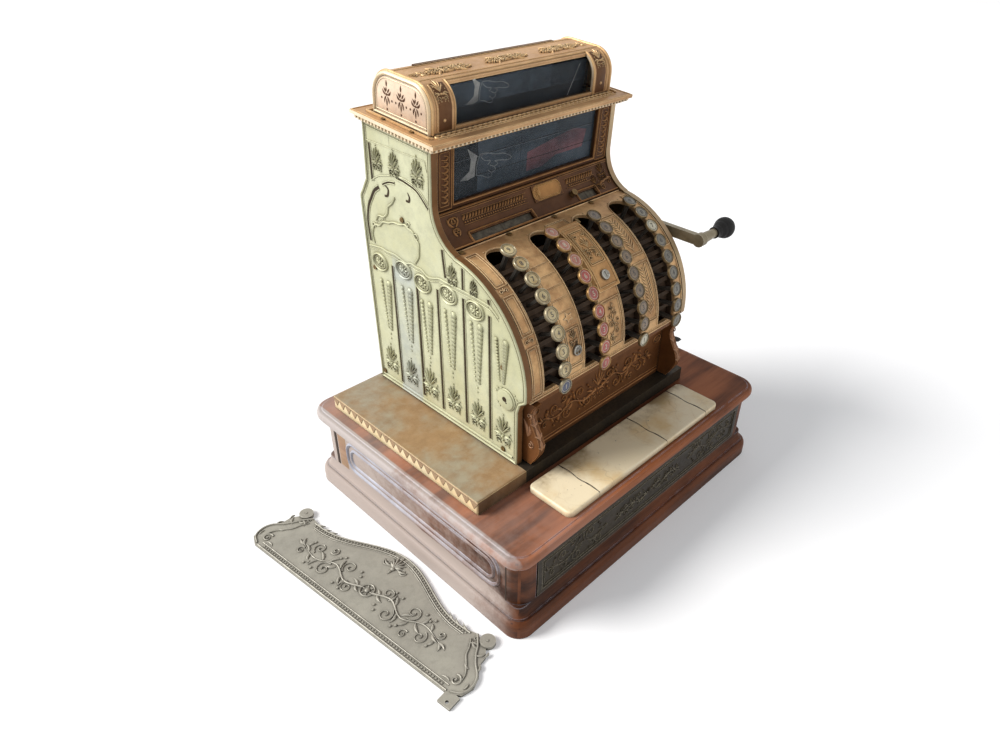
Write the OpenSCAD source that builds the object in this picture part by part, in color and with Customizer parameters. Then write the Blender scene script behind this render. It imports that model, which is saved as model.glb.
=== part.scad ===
// Antique crank cash register on a wooden drawer case.
// Origin: on the underside, on the middle line. +X right, +Y back, +Z up. Millimetres.

/* [Drawer case] */
// Width across the plinth moulding
base_w = 508; // [480:1:540]
// Depth across the plinth moulding
base_d = 414; // [396:1:440]
// Distance of the origin behind the front of the plinth
base_front = 195; // [190:1:205]
// Height of the plinth moulding
plinth_h = 40; // [32:1:46]
// Outer corner radius of the plinth
plinth_r = 22; // [18:1:26]
// Step in from the plinth to the case walls
case_inset = 12; // [10:1:14]
// Outer corner radius of the case walls
case_r = 24; // [18:1:26]
// Height of the case walls above the floor
case_h = 104; // [96:1:120]
// Width of each front post beside the drawer
post_w = 28; // [24:1:34]
// Thickness of the case back and floor
case_wall = 12; // [8:1:14]
// Thickness of the bottom board
bottom_t = 6; // [4:1:9]
// Thickness of the top board
board_t = 20; // [16:1:26]
// Corner radius of the top board
board_r = 28; // [22:1:34]
// Distance that the top board stands out over the front of the case
board_over = 8; // [5:1:11]
// Distance that the top board stands out over the sides of the case
board_side = 10; // [6:1:12]
// Distance that the top board runs back past the case
board_back = 14; // [8:1:20]

/* [Drawer] */
// Gap around the drawer in its opening
drawer_gap = 0.5; // [0.3:0.1:1]
// Front to back length of the drawer
drawer_len = 360; // [320:1:370]
// Thickness of the drawer walls and dividers
drawer_wall = 8; // [6:0.5:10]
// Thickness of the wooden drawer front
front_t = 16; // [12:1:20]
// Thickness of the metal front plate
plate_t = 3; // [2:0.5:4]
// Length of the coin cups, front to back
coin_len = 96; // [80:1:120]
// Coin cups across the drawer
coin_cups = 5; // [4:1:6]
// Note wells across the drawer
note_wells = 4; // [3:1:5]

/* [Coin shelf] */
// Width of the marble shelf
shelf_w = 312; // [280:1:330]
// Depth of the marble shelf
shelf_d = 69; // [60:1:72]
// Thickness of the marble
shelf_t = 8; // [6:1:12]
// Distance of the shelf from the front edge of the top board
shelf_in = 12; // [9:1:16]
// Corner radius of the shelf
shelf_r = 8; // [5:1:10]
// Width of the saw cut between slabs
seam_w = 0.6; // [0.4:0.1:1]

/* [Cabinet] */
// Width across the two side panels
cab_w = 311; // [300:1:322]
// Offset of the cabinet to the right of the case centre
cab_shift = 7.5; // [4:0.5:10]
// Thickness of a side panel
panel_t = 8; // [6:0.5:9]
// Thickness of the iron base plate
iron_t = 19; // [16:1:24]
// Distance of the iron plate's front edge from the front of the top board
iron_in = 91; // [89:1:96]
// Length that the iron plate shows right of the cabinet
iron_right = 15; // [12:1:26]
// Width of the brass ledge left of the cabinet
ledge_w = 79; // [70:1:84]
// Front to back length of the ledge and the iron plate
ledge_d = 292; // [288:1:300]
// Sheet thickness of the ledge cover
ledge_t = 2.5; // [1.5:0.5:4]

/* [Keyboard drum] */
// Outer radius of the keyboard drum
drum_r = 133.5; // [132:0.5:135]
// Thickness of the drum casting
drum_t = 4.5; // [3:0.5:6]
// Height of the drum axis above the iron plate
drum_up = 107.3; // [106:0.1:109]
// Distance of the drum axis behind the iron plate's front edge
drum_back = 136.8; // [136:0.1:138]
// Rim height of the side panels over the drum
rim = 1.3; // [0.8:0.1:2]
// Keys in one bank
key_rows = 9; // [9:1:9]
// Angle of the top key above the horizontal
key_top = 68.6; // [68:0.1:69]
// Angle between two keys
key_step = 8.49; // [8.4:0.01:8.55]
// Width of a key slot
slot_w = 36; // [32:1:37]
// Radius of a key cap
cap_r = 9.6; // [8.5:0.1:10]
// Height of a key cap's face above the drum
cap_up = 18.5; // [17:0.5:21]
// Thickness of a key cap
cap_t = 5; // [4:0.5:6]
// Width of a key stem
stem_w = 7; // [5:0.5:8]
// Thickness of a key stem
stem_t = 3; // [2:0.5:4]
// Travel of a key
key_travel = 8; // [6:0.5:9]
// Running clearance of a stem in its guides
stem_gap = 0.3; // [0.2:0.05:0.5]

/* [Counter lid] */
// Width of the lid
lid_w = 38; // [34:1:38]
// Height of the lid above the drum
lid_up = 8; // [6:0.5:10]
// Thickness of the lid
lid_t = 2.5; // [2:0.5:3]
// Lowest angle covered by the lid
lid_low = 33; // [30:1:36]
// Highest angle covered by the lid
lid_high = 72; // [70:1:74]

/* [Head] */
// Forward lean of the cornice, hood and window
head_lean = 4; // [2:0.5:5]
// Height of the side panels above the iron plate, at their front
panel_h = 352.3; // [348:0.1:358]
// Thickness of the cornice
cornice_t = 11; // [9:0.5:14]
// Distance that the cornice stands out over the sides
cornice_over = 11; // [9:1:15]
// Distance that the cornice stands out over the front
cornice_front = 17; // [14:1:20]
// Width of the hood
hood_w = 297; // [286:1:303]
// Depth of the hood
hood_d = 100; // [94:1:104]
// Height of the hood above the cornice
hood_h = 50; // [46:0.5:56]
// Distance of the hood behind the front of the side panels
hood_in = 8; // [5:1:11]
// Wall thickness of the hood
hood_t = 3; // [2:0.5:4]
// Radius of the hood's front shoulder
hood_rf = 27; // [24:1:34]
// Radius of the hood's back shoulder
hood_rb = 29; // [24:1:32]
// Width of the two windows
window_w = 244; // [230:1:250]
// Height of the lower window
window_h = 66; // [60:1:68]
// Thickness of the window glass
glass_t = 2.5; // [2:0.5:3]
// Distance of the upper pane behind the hood's front
glass_in = 15; // [12:0.5:18]

/* [Crank] */
// Length of the crank arm between its centres
arm_len = 142; // [130:1:150]
// Thickness of the crank arm
arm_t = 8; // [6:1:10]
// Radius of the crank shaft
shaft_r = 7; // [6:0.5:8]
// Running clearance of the shafts in their bores
shaft_gap = 0.05; // [0.03:0.01:0.08]
// Gap between the crank arm and the side panel
arm_gap = 8; // [6:1:12]
// Radius of the black grip
grip_r = 14.5; // [12:0.5:16]
// Length of the grip's bare pin
pin_len = 30; // [26:1:36]
// Radius of the grip's pin
pin_r = 4; // [3.5:0.5:5]
// Module of the gear teeth
gear_m = 2.5; // [2:0.25:2.5]

/* [Top sign] */
// Length of the sign between the outer edges of its scrolls
sign_len = 346; // [330:1:352]
// Height of the sign beside its scrolls
sign_end = 74.5; // [70:0.5:78]
// Height of the sign at its crest
sign_crest = 108; // [102:1:112]
// Thickness of the sign plate
sign_t = 3.5; // [3:0.5:5]
// Radius of the end scrolls
scroll_r = 9.5; // [8:0.5:12]
// Radius of the screw hole in the foot
foot_hole = 2.2; // [1.8:0.1:2.6]

/* [Hidden] */
KEYS = [for (c = ["a", "b", "c", "d"], i = [1:9]) str("key_", c, i)];
$fn = 64;
eps = 0.01;
joint_gap = 0.05;

// levels
board_z = case_h;
deck = case_h + board_t;
iron_z = deck + iron_t;
// case
case_w = base_w - 2*case_inset;
case_d = base_d - 2*case_inset;
case_front = case_inset - base_front;
base_y = case_front + case_d/2;
board_front = case_front - board_over;
board_rear = case_front + case_d + board_back;
floor_z = plinth_h + 1;
// cabinet
cab_l = cab_shift - cab_w/2;
cab_r = cab_shift + cab_w/2;
in_l = cab_l + panel_t;
in_r = cab_r - panel_t;
iron_front = board_front + iron_in;
drum_y = iron_front + drum_back;
drum_z = iron_z + drum_up;
rim_r = drum_r + rim;
rear_low = drum_y + 156;
rear_up = drum_y + 136;
front_edge = iron_front + 16;
plate_y = front_edge + 4;
// waist: a hollow curve from the drum up to the window
waist_r = 50.7;
waist_y = drum_y - 33.5;
waist_z = drum_z + 182.7;
neck_y = waist_y + waist_r;
head_y = neck_y - 3;
head_z = iron_z + panel_h;
// key columns
bank_x = [for (x = [-107.5, -36, 41, 112.5]) cab_shift + x];
drum_low = -6;
drum_high = 86.5;
comb_r = drum_r - drum_t - 8;
stem_end = comb_r - 30;
// crank
crank_y = drum_y + 8.2;
crank_z = drum_z + 94.2;
gear_n = 24;
pinion_n = 12;
gear_span = gear_m*(gear_n + pinion_n)/2 + 0.4;
gear_x = in_r - 12;
arm_x = cab_r + arm_gap;
boss = 10;

// ---------- shared shapes ----------

// Slab with a moulded edge: edge is a list of [distance out from the corner centre, height]
module moulded(w, d, r, edge) {
    zs = [for (p = edge) p[1]];
    for (k = [0:3]) rotate(90*k) {
        a = k % 2 == 0 ? w : d;
        b = k % 2 == 0 ? d : w;
        translate([a/2 - r, b/2 - r, 0]) {
            rotate([90, 0, 0]) linear_extrude(b - 2*r) polygon(edge);
            rotate_extrude(angle = 90) polygon(edge);
        }
    }
    translate([r - w/2, r - d/2, min(zs)]) cube([w - 2*r, d - 2*r, max(zs) - min(zs)]);
}

module block(w, d, r, z0, z1) {
    moulded(w, d, r, [[0, z0], [r, z0], [r, z1], [0, z1]]);
}

// points of an arc in the (y, z) plane
function arc(cy, cz, r, a0, a1, n = 8) =
    [for (i = [0:n]) let (a = a0 + (a1 - a0)*i/n) [cy + r*cos(a), cz + r*sin(a)]];

// extrudes a (y, z) outline along X from x0 to x1
module along_x(x0, x1) {
    translate([x0, 0, 0]) rotate([90, 0, 90]) linear_extrude(x1 - x0) children();
}

// ring sector about the drum axis; angles rise from the front horizontal
module drum_sector(x0, x1, r0, r1, a0, a1) {
    translate([0, drum_y, drum_z]) rotate([90, 0, -90]) translate([0, 0, -x1])
        rotate(a0) rotate_extrude(angle = a1 - a0, $fn = 96) translate([r0, 0]) square([r1 - r0, x1 - x0]);
}

// places children with +Z pointing out of the drum at column x and angle a
module on_drum(x, a) {
    translate([x, drum_y, drum_z]) rotate([90 - a, 0, 0]) children();
}

// frame of the leaning head: X across, Y back, Z up, from the top front of the side panels
module leaned() {
    translate([0, head_y, head_z]) rotate([head_lean, 0, 0]) children();
}

function key_angle(i) = key_top - key_step*(i - 1);

// ---------- drawer case ----------

plinth_edge = concat([[0, 0], [plinth_r - 1, 0], [plinth_r, 1], [plinth_r, plinth_h*0.34]],
    [for (i = [1:5]) let (a = 90*i/5) [plinth_r - 5 + 5*cos(a), plinth_h*0.34 + 11*sin(a)]],
    [[plinth_r - 6.5, plinth_h*0.34 + 11], [plinth_r - 6.5, plinth_h*0.34 + 13.5]],
    [for (i = [1:5]) let (a = 90*i/5) [plinth_r - case_inset + (case_inset - 6.5)*(1 - sin(a)),
        plinth_h - (plinth_h*0.66 - 13.5)*cos(a)]], [[0, plinth_h]]);

module base_case() {
    wood = [0.36, 0.2, 0.12];
    // carcass
    color(wood) translate([0, base_y, 0]) difference() {
        block(case_w, case_d, case_r, bottom_t, case_h);
        translate([post_w - case_w/2, -case_d/2 - 1, floor_z])
            cube([case_w - 2*post_w, case_d - case_wall + 1, case_h]);
        translate([post_w - case_w/2, post_w - case_d/2, bottom_t - 1])
            cube([case_w - 2*post_w, case_d - 2*post_w, floor_z - case_wall - bottom_t + 1]);
    }
    // plinth moulding
    color(wood) translate([0, base_y, 0]) difference() {
        moulded(base_w, base_d, plinth_r, plinth_edge);
        block(case_w, case_d, case_r, -1, plinth_h + 1);
    }
    // bottom board
    color([0.45, 0.33, 0.22]) translate([0, base_y, 0]) block(case_w, case_d, case_r, 0, bottom_t);
}

board_edge = concat([[0, board_z]], [[board_r - 6, board_z]],
    [for (i = [0:8]) let (a = -90 + 180*i/8) [board_r - 4 + 4*cos(a), board_z + board_t*0.62 + (board_t*0.38 - 1)*sin(a)]],
    [[board_r - 7, deck - 1], [board_r - 8, deck], [0, deck]]);

module top_board() {
    color([0.45, 0.22, 0.13]) translate([0, (board_front + board_rear)/2, 0])
        moulded(case_w + 2*board_side, board_rear - board_front, board_r, board_edge);
}

// ---------- drawer ----------

drawer_w = case_w - 2*post_w - 2*drawer_gap;
drawer_z = floor_z + drawer_gap;
drawer_top = case_h - drawer_gap;
drawer_y = case_front + plate_t - 1;

module cups(n, y0, y1, z0) {
    w = (drawer_w - 2*drawer_wall - (n - 1)*drawer_wall)/n;
    for (i = [0:n - 1]) translate([-drawer_w/2 + drawer_wall + i*(w + drawer_wall), y0, z0])
        cube([w, y1 - y0, drawer_top - z0 + 1]);
}

module drawer_box() {
    color([0.5, 0.35, 0.22]) difference() {
        translate([-drawer_w/2, drawer_y, drawer_z]) cube([drawer_w, drawer_len, drawer_top - drawer_z]);
        translate([-drawer_w/2 - 1, drawer_y + front_t, drawer_top - 10])
            cube([drawer_w + 2, drawer_len, 11]);
        cups(coin_cups, drawer_y + front_t, drawer_y + front_t + coin_len, drawer_z + 16);
        cups(note_wells, drawer_y + front_t + coin_len + drawer_wall,
            drawer_y + drawer_len - drawer_wall, drawer_z + drawer_wall);
    }
}

module drawer_front() {
    h = drawer_top - drawer_z - 2;
    color([0.24, 0.21, 0.15]) translate([1 - drawer_w/2, drawer_y - plate_t, drawer_z + 1]) difference() {
        cube([drawer_w - 2, plate_t, h]);
        translate([7, -1, 6]) cube([drawer_w - 16, 2, h - 12]);
    }
}

// ---------- coin shelf ----------

shelf_edge = concat([[0, deck]], [[shelf_r, deck]],
    [for (i = [0:4]) let (a = 90*i/4) [shelf_r - 2.5 + 2.5*cos(a), deck + shelf_t - 2.5 + 2.5*sin(a)]],
    [[0, deck + shelf_t]]);
shelf_cuts = [-0.33, 0.11, 0.4];

module marble_shelf() {
    color([0.86, 0.8, 0.64]) difference() {
        translate([0, board_front + shelf_in + shelf_d/2, 0]) moulded(shelf_w, shelf_d, shelf_r, shelf_edge);
        for (s = shelf_cuts) translate([s*shelf_w, board_front, deck - 1])
            cube([seam_w, shelf_in + shelf_d + 1, shelf_t + 2]);
    }
}

// ---------- iron base and brass ledge ----------

module base_plate() {
    color([0.13, 0.12, 0.11]) difference() {
        translate([cab_l, iron_front, deck]) cube([cab_w + iron_right, ledge_d, iron_t]);
        translate([cab_l + 16, iron_front + 20, deck - 1]) cube([cab_w - 32, ledge_d - 40, iron_t - 5]);
    }
}

module ledge_cover() {
    color([0.6, 0.44, 0.2]) difference() {
        translate([cab_l - ledge_w, iron_front, deck]) cube([ledge_w, ledge_d, iron_t]);
        translate([cab_l - ledge_w + ledge_t, iron_front + ledge_t, deck - 1])
            cube([ledge_w - 2*ledge_t, ledge_d - 2*ledge_t, iron_t - ledge_t + 1]);
    }
}

// ---------- side panels ----------

head_top = head_z + (rear_up - head_y)*tan(head_lean);
rear_step = drum_z + 164;
panel_outline = concat(
    [[front_edge, iron_z], [front_edge, drum_z - 28], [front_edge - 4, drum_z - 16]],
    [[front_edge - 12, drum_z - 10]],
    [for (p = arc(drum_y, drum_z, rim_r, 183, 98, 20)) p],
    arc(waist_y, waist_z, waist_r, -72, 0, 8),
    [[head_y, head_z], [rear_up, head_top], [rear_up + 4, rear_step + 20]],
    arc(rear_low - 14, rear_step - 8, 14, 50, 0, 4),
    [[rear_low - 6, iron_z]]);

module side_panel(x0) {
    along_x(x0, x0 + panel_t) polygon(panel_outline);
}

module left_panel() {
    color([0.72, 0.71, 0.52]) difference() {
        union() {
            side_panel(cab_l);
            translate([in_l - eps, crank_y, crank_z - gear_span]) rotate([0, 90, 0]) cylinder(r = 14, h = boss);
        }
        translate([in_l - 2, crank_y, crank_z - gear_span]) rotate([0, 90, 0])
            cylinder(r = shaft_r + shaft_gap, h = boss + 4);
    }
}

module right_panel() {
    color([0.6, 0.45, 0.25]) difference() {
        union() {
            side_panel(in_r);
            translate([cab_r - eps, crank_y, crank_z]) rotate([0, 90, 0]) cylinder(r = 16, h = arm_gap - 1);
        }
        translate([in_r - 1, crank_y, crank_z]) rotate([0, 90, 0])
            cylinder(r = shaft_r + shaft_gap, h = panel_t + arm_gap + 2);
        translate([in_r - 1, crank_y, crank_z - gear_span]) rotate([0, 90, 0])
            cylinder(r = shaft_r + shaft_gap, h = panel_t - 1);
        translate([cab_r - panel_t/2, front_edge - 1, lever_z]) rotate([-90, 0, 0])
            cylinder(r = lever_pin + shaft_gap, h = 14);
    }
}

module back_cover() {
    t = 3;
    y1 = rear_low - 8;
    y2 = rear_up - 1;
    color([0.5, 0.38, 0.2]) along_x(in_l, in_r) polygon([[y1, iron_z], [y1 + 5, rear_step - 8],
        [y2, rear_step + 16], [y2, head_top - 0.8], [y2 - t, head_top - 0.8],
        [y2 - t, rear_step + 14], [y1 + 5 - t, rear_step - 10], [y1 - t, iron_z]]);
}

// ---------- window frame and apron ----------

frame_v = 0.8;
frame_t = 4;
apron_r = waist_r + 2;

// ring sector about the waist axis; angles rise from the back horizontal
module waist_sector(x0, x1, r0, r1, a0, a1) {
    translate([x0, waist_y, waist_z]) rotate([90, 0, 90]) rotate(a0)
        rotate_extrude(angle = a1 - a0, $fn = 96) translate([r0, 0]) square([r1 - r0, x1 - x0]);
}

// [left edge, width, lowest angle, highest angle] of the two counter openings
counters = [[-113.5, 100, -60.5, -48], [73.5, 35, -60.5, -47]];
module window_frame() {
    color([0.42, 0.26, 0.15]) {
        leaned() difference() {
            translate([in_l, frame_v, -window_h - 8]) cube([in_r - in_l, frame_t, window_h + 8]);
            translate([cab_shift - window_w/2, -1, -window_h - 2]) cube([window_w, frame_t + 3, window_h - 2]);
        }
        difference() {
            waist_sector(in_l, in_r, apron_r, apron_r + frame_t, -62, -13);
            for (c = counters) waist_sector(cab_shift + c[0], cab_shift + c[0] + c[1],
                apron_r - 2, apron_r + frame_t + 2, c[2], c[3]);
        }
        // bare nameplate
        waist_sector(cab_shift, cab_shift + 51, apron_r - 1.5, apron_r - joint_gap, -40, -17);
    }
}

// ---------- keyboard ----------

// edges of the drum's strips, left to right
strip_l = concat([in_l], [for (x = bank_x) x + slot_w/2]);
strip_r = concat([for (x = bank_x) x - slot_w/2], [in_r]);
slot_top = key_top + 2;
slot_low = -2.6;
module key_drum() {
    r0 = drum_r - drum_t;
    color([0.62, 0.42, 0.22]) {
        // bottom bar, five strips and the top band with the rounded heads of the slots
        drum_sector(in_l, in_r, r0, drum_r, drum_low, slot_low - joint_gap);
        for (i = [0:len(strip_l) - 1]) drum_sector(strip_l[i], strip_r[i], r0, drum_r, slot_low, slot_top);
        difference() {
            drum_sector(in_l, in_r, r0, drum_r, slot_top + joint_gap, drum_high);
            for (x = bank_x) on_drum(x, slot_top) translate([0, 0, r0 - 3])
                cylinder(r = slot_w/2 + 0.3, h = drum_t + 6);
        }
    }
}

// a bank: two curved combs between two cheeks, seated under the drum
module key_bank(x) {
    w = slot_w - 2;
    high = slot_top + 2;
    difference() {
        union() {
            drum_sector(x - w/2, x + w/2, comb_r - 3, comb_r, slot_low, high);
            drum_sector(x - w/2, x + w/2, comb_r - 22, comb_r - 19, slot_low, high);
            for (s = [-1, 1]) drum_sector(x + s*(slot_w/2 + 0.5) - 1.5, x + s*(slot_w/2 + 0.5) + 1.5,
                comb_r - 22, drum_r - drum_t - joint_gap, slot_low, high);
            for (i = [1:key_rows - 1]) on_drum(x, key_angle(i) - key_step/2)
                translate([-w/2, -2.5, comb_r - 1]) cube([w, 5, 6]);
        }
        for (i = [1:key_rows]) on_drum(x, key_angle(i))
            translate([-stem_w/2 - stem_gap, -stem_t/2 - stem_gap, comb_r - 30])
                cube([stem_w + 2*stem_gap, stem_t + 2*stem_gap, 40]);
    }
}

module key_banks() {
    color([0.2, 0.16, 0.12]) for (x = bank_x) key_bank(x);
}

// round cap with a raised rim and a face disc on a flat stem
module key(c, i) {
    top = drum_r + cap_up;
    on_drum(bank_x[c], key_angle(i)) {
        difference() {
            union() {
                translate([0, 0, top - cap_t]) cylinder(r = cap_r, h = cap_t);
                translate([0, 0, top - cap_t - 2]) cylinder(r = cap_r*0.55, h = 2 + eps);
            }
            translate([0, 0, top - 1.2]) cylinder(r = cap_r - 1.6, h = 2);
        }
        translate([-stem_w/2, -stem_t/2, stem_end]) cube([stem_w, stem_t, top - cap_t - stem_end - 1]);
    }
}

key_tints = [[0.86, 0.8, 0.6], [0.62, 0.2, 0.16], [0.5, 0.45, 0.36], [0.44, 0.4, 0.34]];
module key_node(c, i) {
    color(key_tints[c]) key(c, i);
}

// ---------- counter lid ----------

lid_x = (bank_x[1] + bank_x[2])/2;
lid_r = drum_r + lid_up;
hinge_r = 1.6;
hinge_up = drum_r + 4.6;
ear_t = 3.4;

module counter_lid() {
    x0 = lid_x - lid_w/2;
    x1 = lid_x + lid_w/2;
    r0 = drum_r + 0.4;
    r1 = lid_r - lid_t;
    color([0.66, 0.45, 0.22]) difference() {
        union() {
            difference() {
                drum_sector(x0, x1, r0, lid_r, lid_low, lid_high - 0.9);
                drum_sector(x0 + 2, x1 - 2, r0 - 3, r1, lid_low + 1, lid_high + 2);
            }
            on_drum(lid_x, lid_low + 7) translate([0, 0, lid_r - 0.5]) cylinder(r = 6, h = 3);
            on_drum(x0, lid_high) translate([0, 0, hinge_up]) rotate([0, 90, 0]) cylinder(r = 3.2, h = lid_w);
        }
        on_drum(x0 - 1, lid_high) translate([0, 0, hinge_up]) rotate([0, 90, 0])
            cylinder(r = hinge_r + shaft_gap, h = lid_w + 2);
    }
}

// two ears on the drum and the pin between them
module lid_hinge() {
    on_drum(lid_x, lid_high) {
        for (s = [-1, 1]) translate([s*(lid_w/2 + 0.4 + ear_t/2) - ear_t/2, -3.6, drum_r]) cube([ear_t, 7.2, 8.2]);
        translate([-lid_w/2 - 1, 0, hinge_up]) rotate([0, 90, 0]) cylinder(r = hinge_r, h = lid_w + 2);
    }
}

// ---------- front plate ----------

lip_d = 14;
lip_z = drum_z - 16;
bracket_w = 10;
bracket_in = 3;
// depth of a scroll bracket in front of the plate at height t, from 0 at its foot to 1 at its head
function bracket_depth(t) = 21.5 + 8*sin(400*t - 42);
bracket_outline = concat([for (i = [0:16]) [plate_y - bracket_depth(i/16), iron_z + 2 + i/16*(lip_z - iron_z - 2)]],
    [[plate_y, lip_z], [plate_y, iron_z + 2]]);

module front_plate() {
    color([0.42, 0.24, 0.14]) {
        translate([in_l, plate_y, iron_z]) cube([in_r - in_l, 4, lip_z - iron_z]);
        translate([in_l + bracket_in + bracket_w, plate_y - lip_d, lip_z - 5])
            cube([in_r - in_l - 2*bracket_in - 2*bracket_w, lip_d + eps, 5]);
    }
    for (x = [in_l + bracket_in, in_r - bracket_in - bracket_w]) color([0.7, 0.42, 0.3])
        along_x(x, x + bracket_w) polygon(bracket_outline);
}

// ---------- cornice, hood and glass ----------

cor_back = rear_up - head_y + 8;
cor_top = cornice_t;
module cornice() {
    w = cab_w + 2*cornice_over;
    color([0.66, 0.46, 0.24]) leaned() difference() {
        union() {
            translate([cab_shift - w/2, -cornice_front, cor_top - 4]) cube([w, cor_back + cornice_front, 4]);
            translate([cab_shift - w/2 + 4, 4 - cornice_front, cor_top - 8])
                cube([w - 8, cor_back + cornice_front - 7, 4 + eps]);
            translate([cab_shift - w/2 + 8, 9 - cornice_front, 0])
                cube([w - 16, cor_back + cornice_front - 13, cor_top - 8 + eps]);
        }
        translate([cab_shift - hood_w/2 + 8, hood_in + glass_in + glass_t + 3, -1])
            cube([hood_w - 16, hood_d - glass_in - glass_t - 11, cornice_t + 2]);
    }
}

function hood_outline(in) = concat([[hood_in + in, cor_top]],
    arc(hood_in + hood_rf, cor_top + hood_h - hood_rf, hood_rf - in, 180, 90, 10),
    arc(hood_in + hood_d - hood_rb, cor_top + hood_h - hood_rb, hood_rb - in, 90, 0, 8),
    [[hood_in + hood_d - in, cor_top]]);

module hood() {
    x0 = cab_shift - hood_w/2;
    color([0.66, 0.46, 0.24]) leaned() {
        difference() {
            along_x(x0, x0 + hood_w) polygon(hood_outline(0));
            translate([0, 0, -eps]) along_x(x0 + 4, x0 + hood_w - 4) polygon(hood_outline(hood_t));
            translate([cab_shift - window_w/2 + 9, -1, cor_top + 5])
                cube([window_w - 18, hood_in + 17, hood_h]);
        }
        // rail that the top sign stands on
        translate([cab_shift - 112, hood_in + hood_d - hood_rb, cor_top + hood_h - 1]) cube([224, 5, 2.4]);
    }
}

module window_glass() {
    gw = window_w + 6;
    color([0.2, 0.25, 0.3, 0.5]) leaned() {
        translate([cab_shift - gw/2, frame_v + frame_t, -window_h - 3]) cube([gw, glass_t, window_h]);
        translate([cab_shift - gw/2 + 6, hood_in + glass_in, cor_top]) cube([gw - 12, glass_t, hood_h - 8]);
    }
}

// ---------- crank and gears ----------

function gear_points(n) = let (r = gear_m*n/2) [for (i = [0:n - 1]) let (a = 360*i/n, p = 360/n)
    each [[r - 1.25*gear_m, a - 0.3*p], [r - 0.6*gear_m, a - 0.24*p], [r + 0.7*gear_m, a - 0.09*p],
        [r + 0.7*gear_m, a + 0.09*p], [r - 0.6*gear_m, a + 0.24*p], [r - 1.25*gear_m, a + 0.3*p]]];
module gear(n, t, phase) {
    linear_extrude(t) polygon([for (q = gear_points(n)) q[0]*[cos(q[1] + phase), sin(q[1] + phase)]]);
}

module crank_arm() {
    color([0.6, 0.56, 0.46]) {
        // shaft and pinion
        translate([gear_x - 1, crank_y, crank_z]) rotate([0, 90, 0])
            cylinder(r = shaft_r, h = arm_x - gear_x + 1 + eps);
        translate([gear_x, crank_y, crank_z]) rotate([0, 90, 0]) gear(pinion_n, 9, 180/pinion_n);
        // arm with a boss at each end
        translate([arm_x, crank_y, crank_z]) rotate([0, 90, 0]) {
            cylinder(r = 15, h = arm_t + 3);
            translate([-7, -arm_len, 0]) cube([14, arm_len, arm_t]);
            translate([0, -arm_len, 0]) cylinder(r = 9, h = arm_t + 2);
            translate([0, -arm_len, 0]) cylinder(r = pin_r, h = arm_t + pin_len + grip_len + 1);
            translate([0, -arm_len, 0]) cylinder(r1 = 8, r2 = pin_r + 2, h = arm_t + pin_len - shaft_gap);
            translate([0, -arm_len, arm_t + pin_len + grip_len + 0.5]) cylinder(r = pin_r + 1.5, h = 1.5);
        }
    }
}

grip_len = 26 + sqrt(grip_r*grip_r - (pin_r + shaft_gap)*(pin_r + shaft_gap));
module crank_grip() {
    bore = pin_r + shaft_gap;
    color([0.06, 0.06, 0.06]) translate([arm_x + arm_t + pin_len + 0.2, crank_y - arm_len, crank_z])
        rotate([0, 90, 0]) rotate_extrude() polygon(concat([[bore, 0], [8, 0], [7.6, 5], [8.6, 10], [11, 14.5]],
            [for (i = [1:12]) let (a = -45 + (45 + acos(bore/grip_r))*i/12) [grip_r*cos(a), 26 + grip_r*sin(a)]]));
}

module main_gear() {
    color([0.45, 0.4, 0.3]) translate([in_l - 1.7, crank_y, crank_z - gear_span]) rotate([0, 90, 0]) {
        cylinder(r = shaft_r, h = in_r - in_l + 1.7 + panel_t - 2.5);
        translate([0, 0, gear_x - in_l + 1.7]) gear(gear_n, 9, 0);
    }
}

// ---------- side lever ----------

lever_z = drum_z - 55;
lever_pin = 1.6;
module side_lever() {
    color([0.07, 0.07, 0.07]) translate([cab_r - panel_t/2, front_edge - 0.4, lever_z]) rotate([90, 0, 0]) {
        translate([0, 0, -12]) cylinder(r = lever_pin, h = 12 + eps);
        cylinder(r = 4.5, h = 4);
        rotate(-26) linear_extrude(4) polygon([[0, -4.2], [8, -4.5], [22, -3.5], [29, 0], [22, 2.5], [8, 3.5], [0, 4.2]]);
    }
}

// ---------- top sign, lying on the floor ----------

sign_x = -base_w/2 - 118;
sign_y = -13.7;
sign_turn = -83.3;
half = sign_len/2;
// height of the top edge at distance u from the middle: a bell between two level shoulders
bell = 0.72*half;
function crest(u) = sign_end + (sign_crest - sign_end)*(0.5 + 0.5*cos(180*min(1, u/bell)));
// right side from the foot to the scroll, then the top edge to the crest
sign_side = concat([[half, 0], [half + 12, 7], [half + 16.5, 22], [half + 12, 36], [half + 3, 48], [half + 2, 60],
    [half - 6, sign_end - 5], [half - 26, sign_end + 3], [half - 40, sign_end]],
    [for (i = [12:-1:1]) [i/12*bell, crest(i/12*bell)]]);
module top_sign() {
    n = len(sign_side);
    color([0.5, 0.49, 0.45]) translate([sign_x, sign_y, 0]) rotate(sign_turn) difference() {
        union() {
            linear_extrude(sign_t) polygon(concat(sign_side, [[0, sign_crest]],
                [for (i = [n - 1:-1:0]) [-sign_side[i][0], sign_side[i][1]]]));
            for (s = [-1, 1]) translate([s*(half - scroll_r), sign_end + 2.5, 0]) cylinder(r = scroll_r, h = sign_t + 2);
            translate([half - 5, -13, 0]) cube([18, 17, sign_t]);
        }
        translate([half + 5, -8, -1]) cylinder(r = foot_hole, h = sign_t + 2);
    }
}

// ---------- screws, locks and hinge pin ----------

module screw() {
    difference() {
        cylinder(r = 3, h = 1.8);
        translate([-4, -0.4, 1]) cube([8, 0.8, 2]);
    }
}

module lock(r) {
    difference() {
        cylinder(r = r, h = 2.5);
        translate([0, 0, 1]) cylinder(r = 1.8, h = 2);
        translate([-0.8, -5, 1]) cube([1.6, 5, 2]);
    }
}

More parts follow.
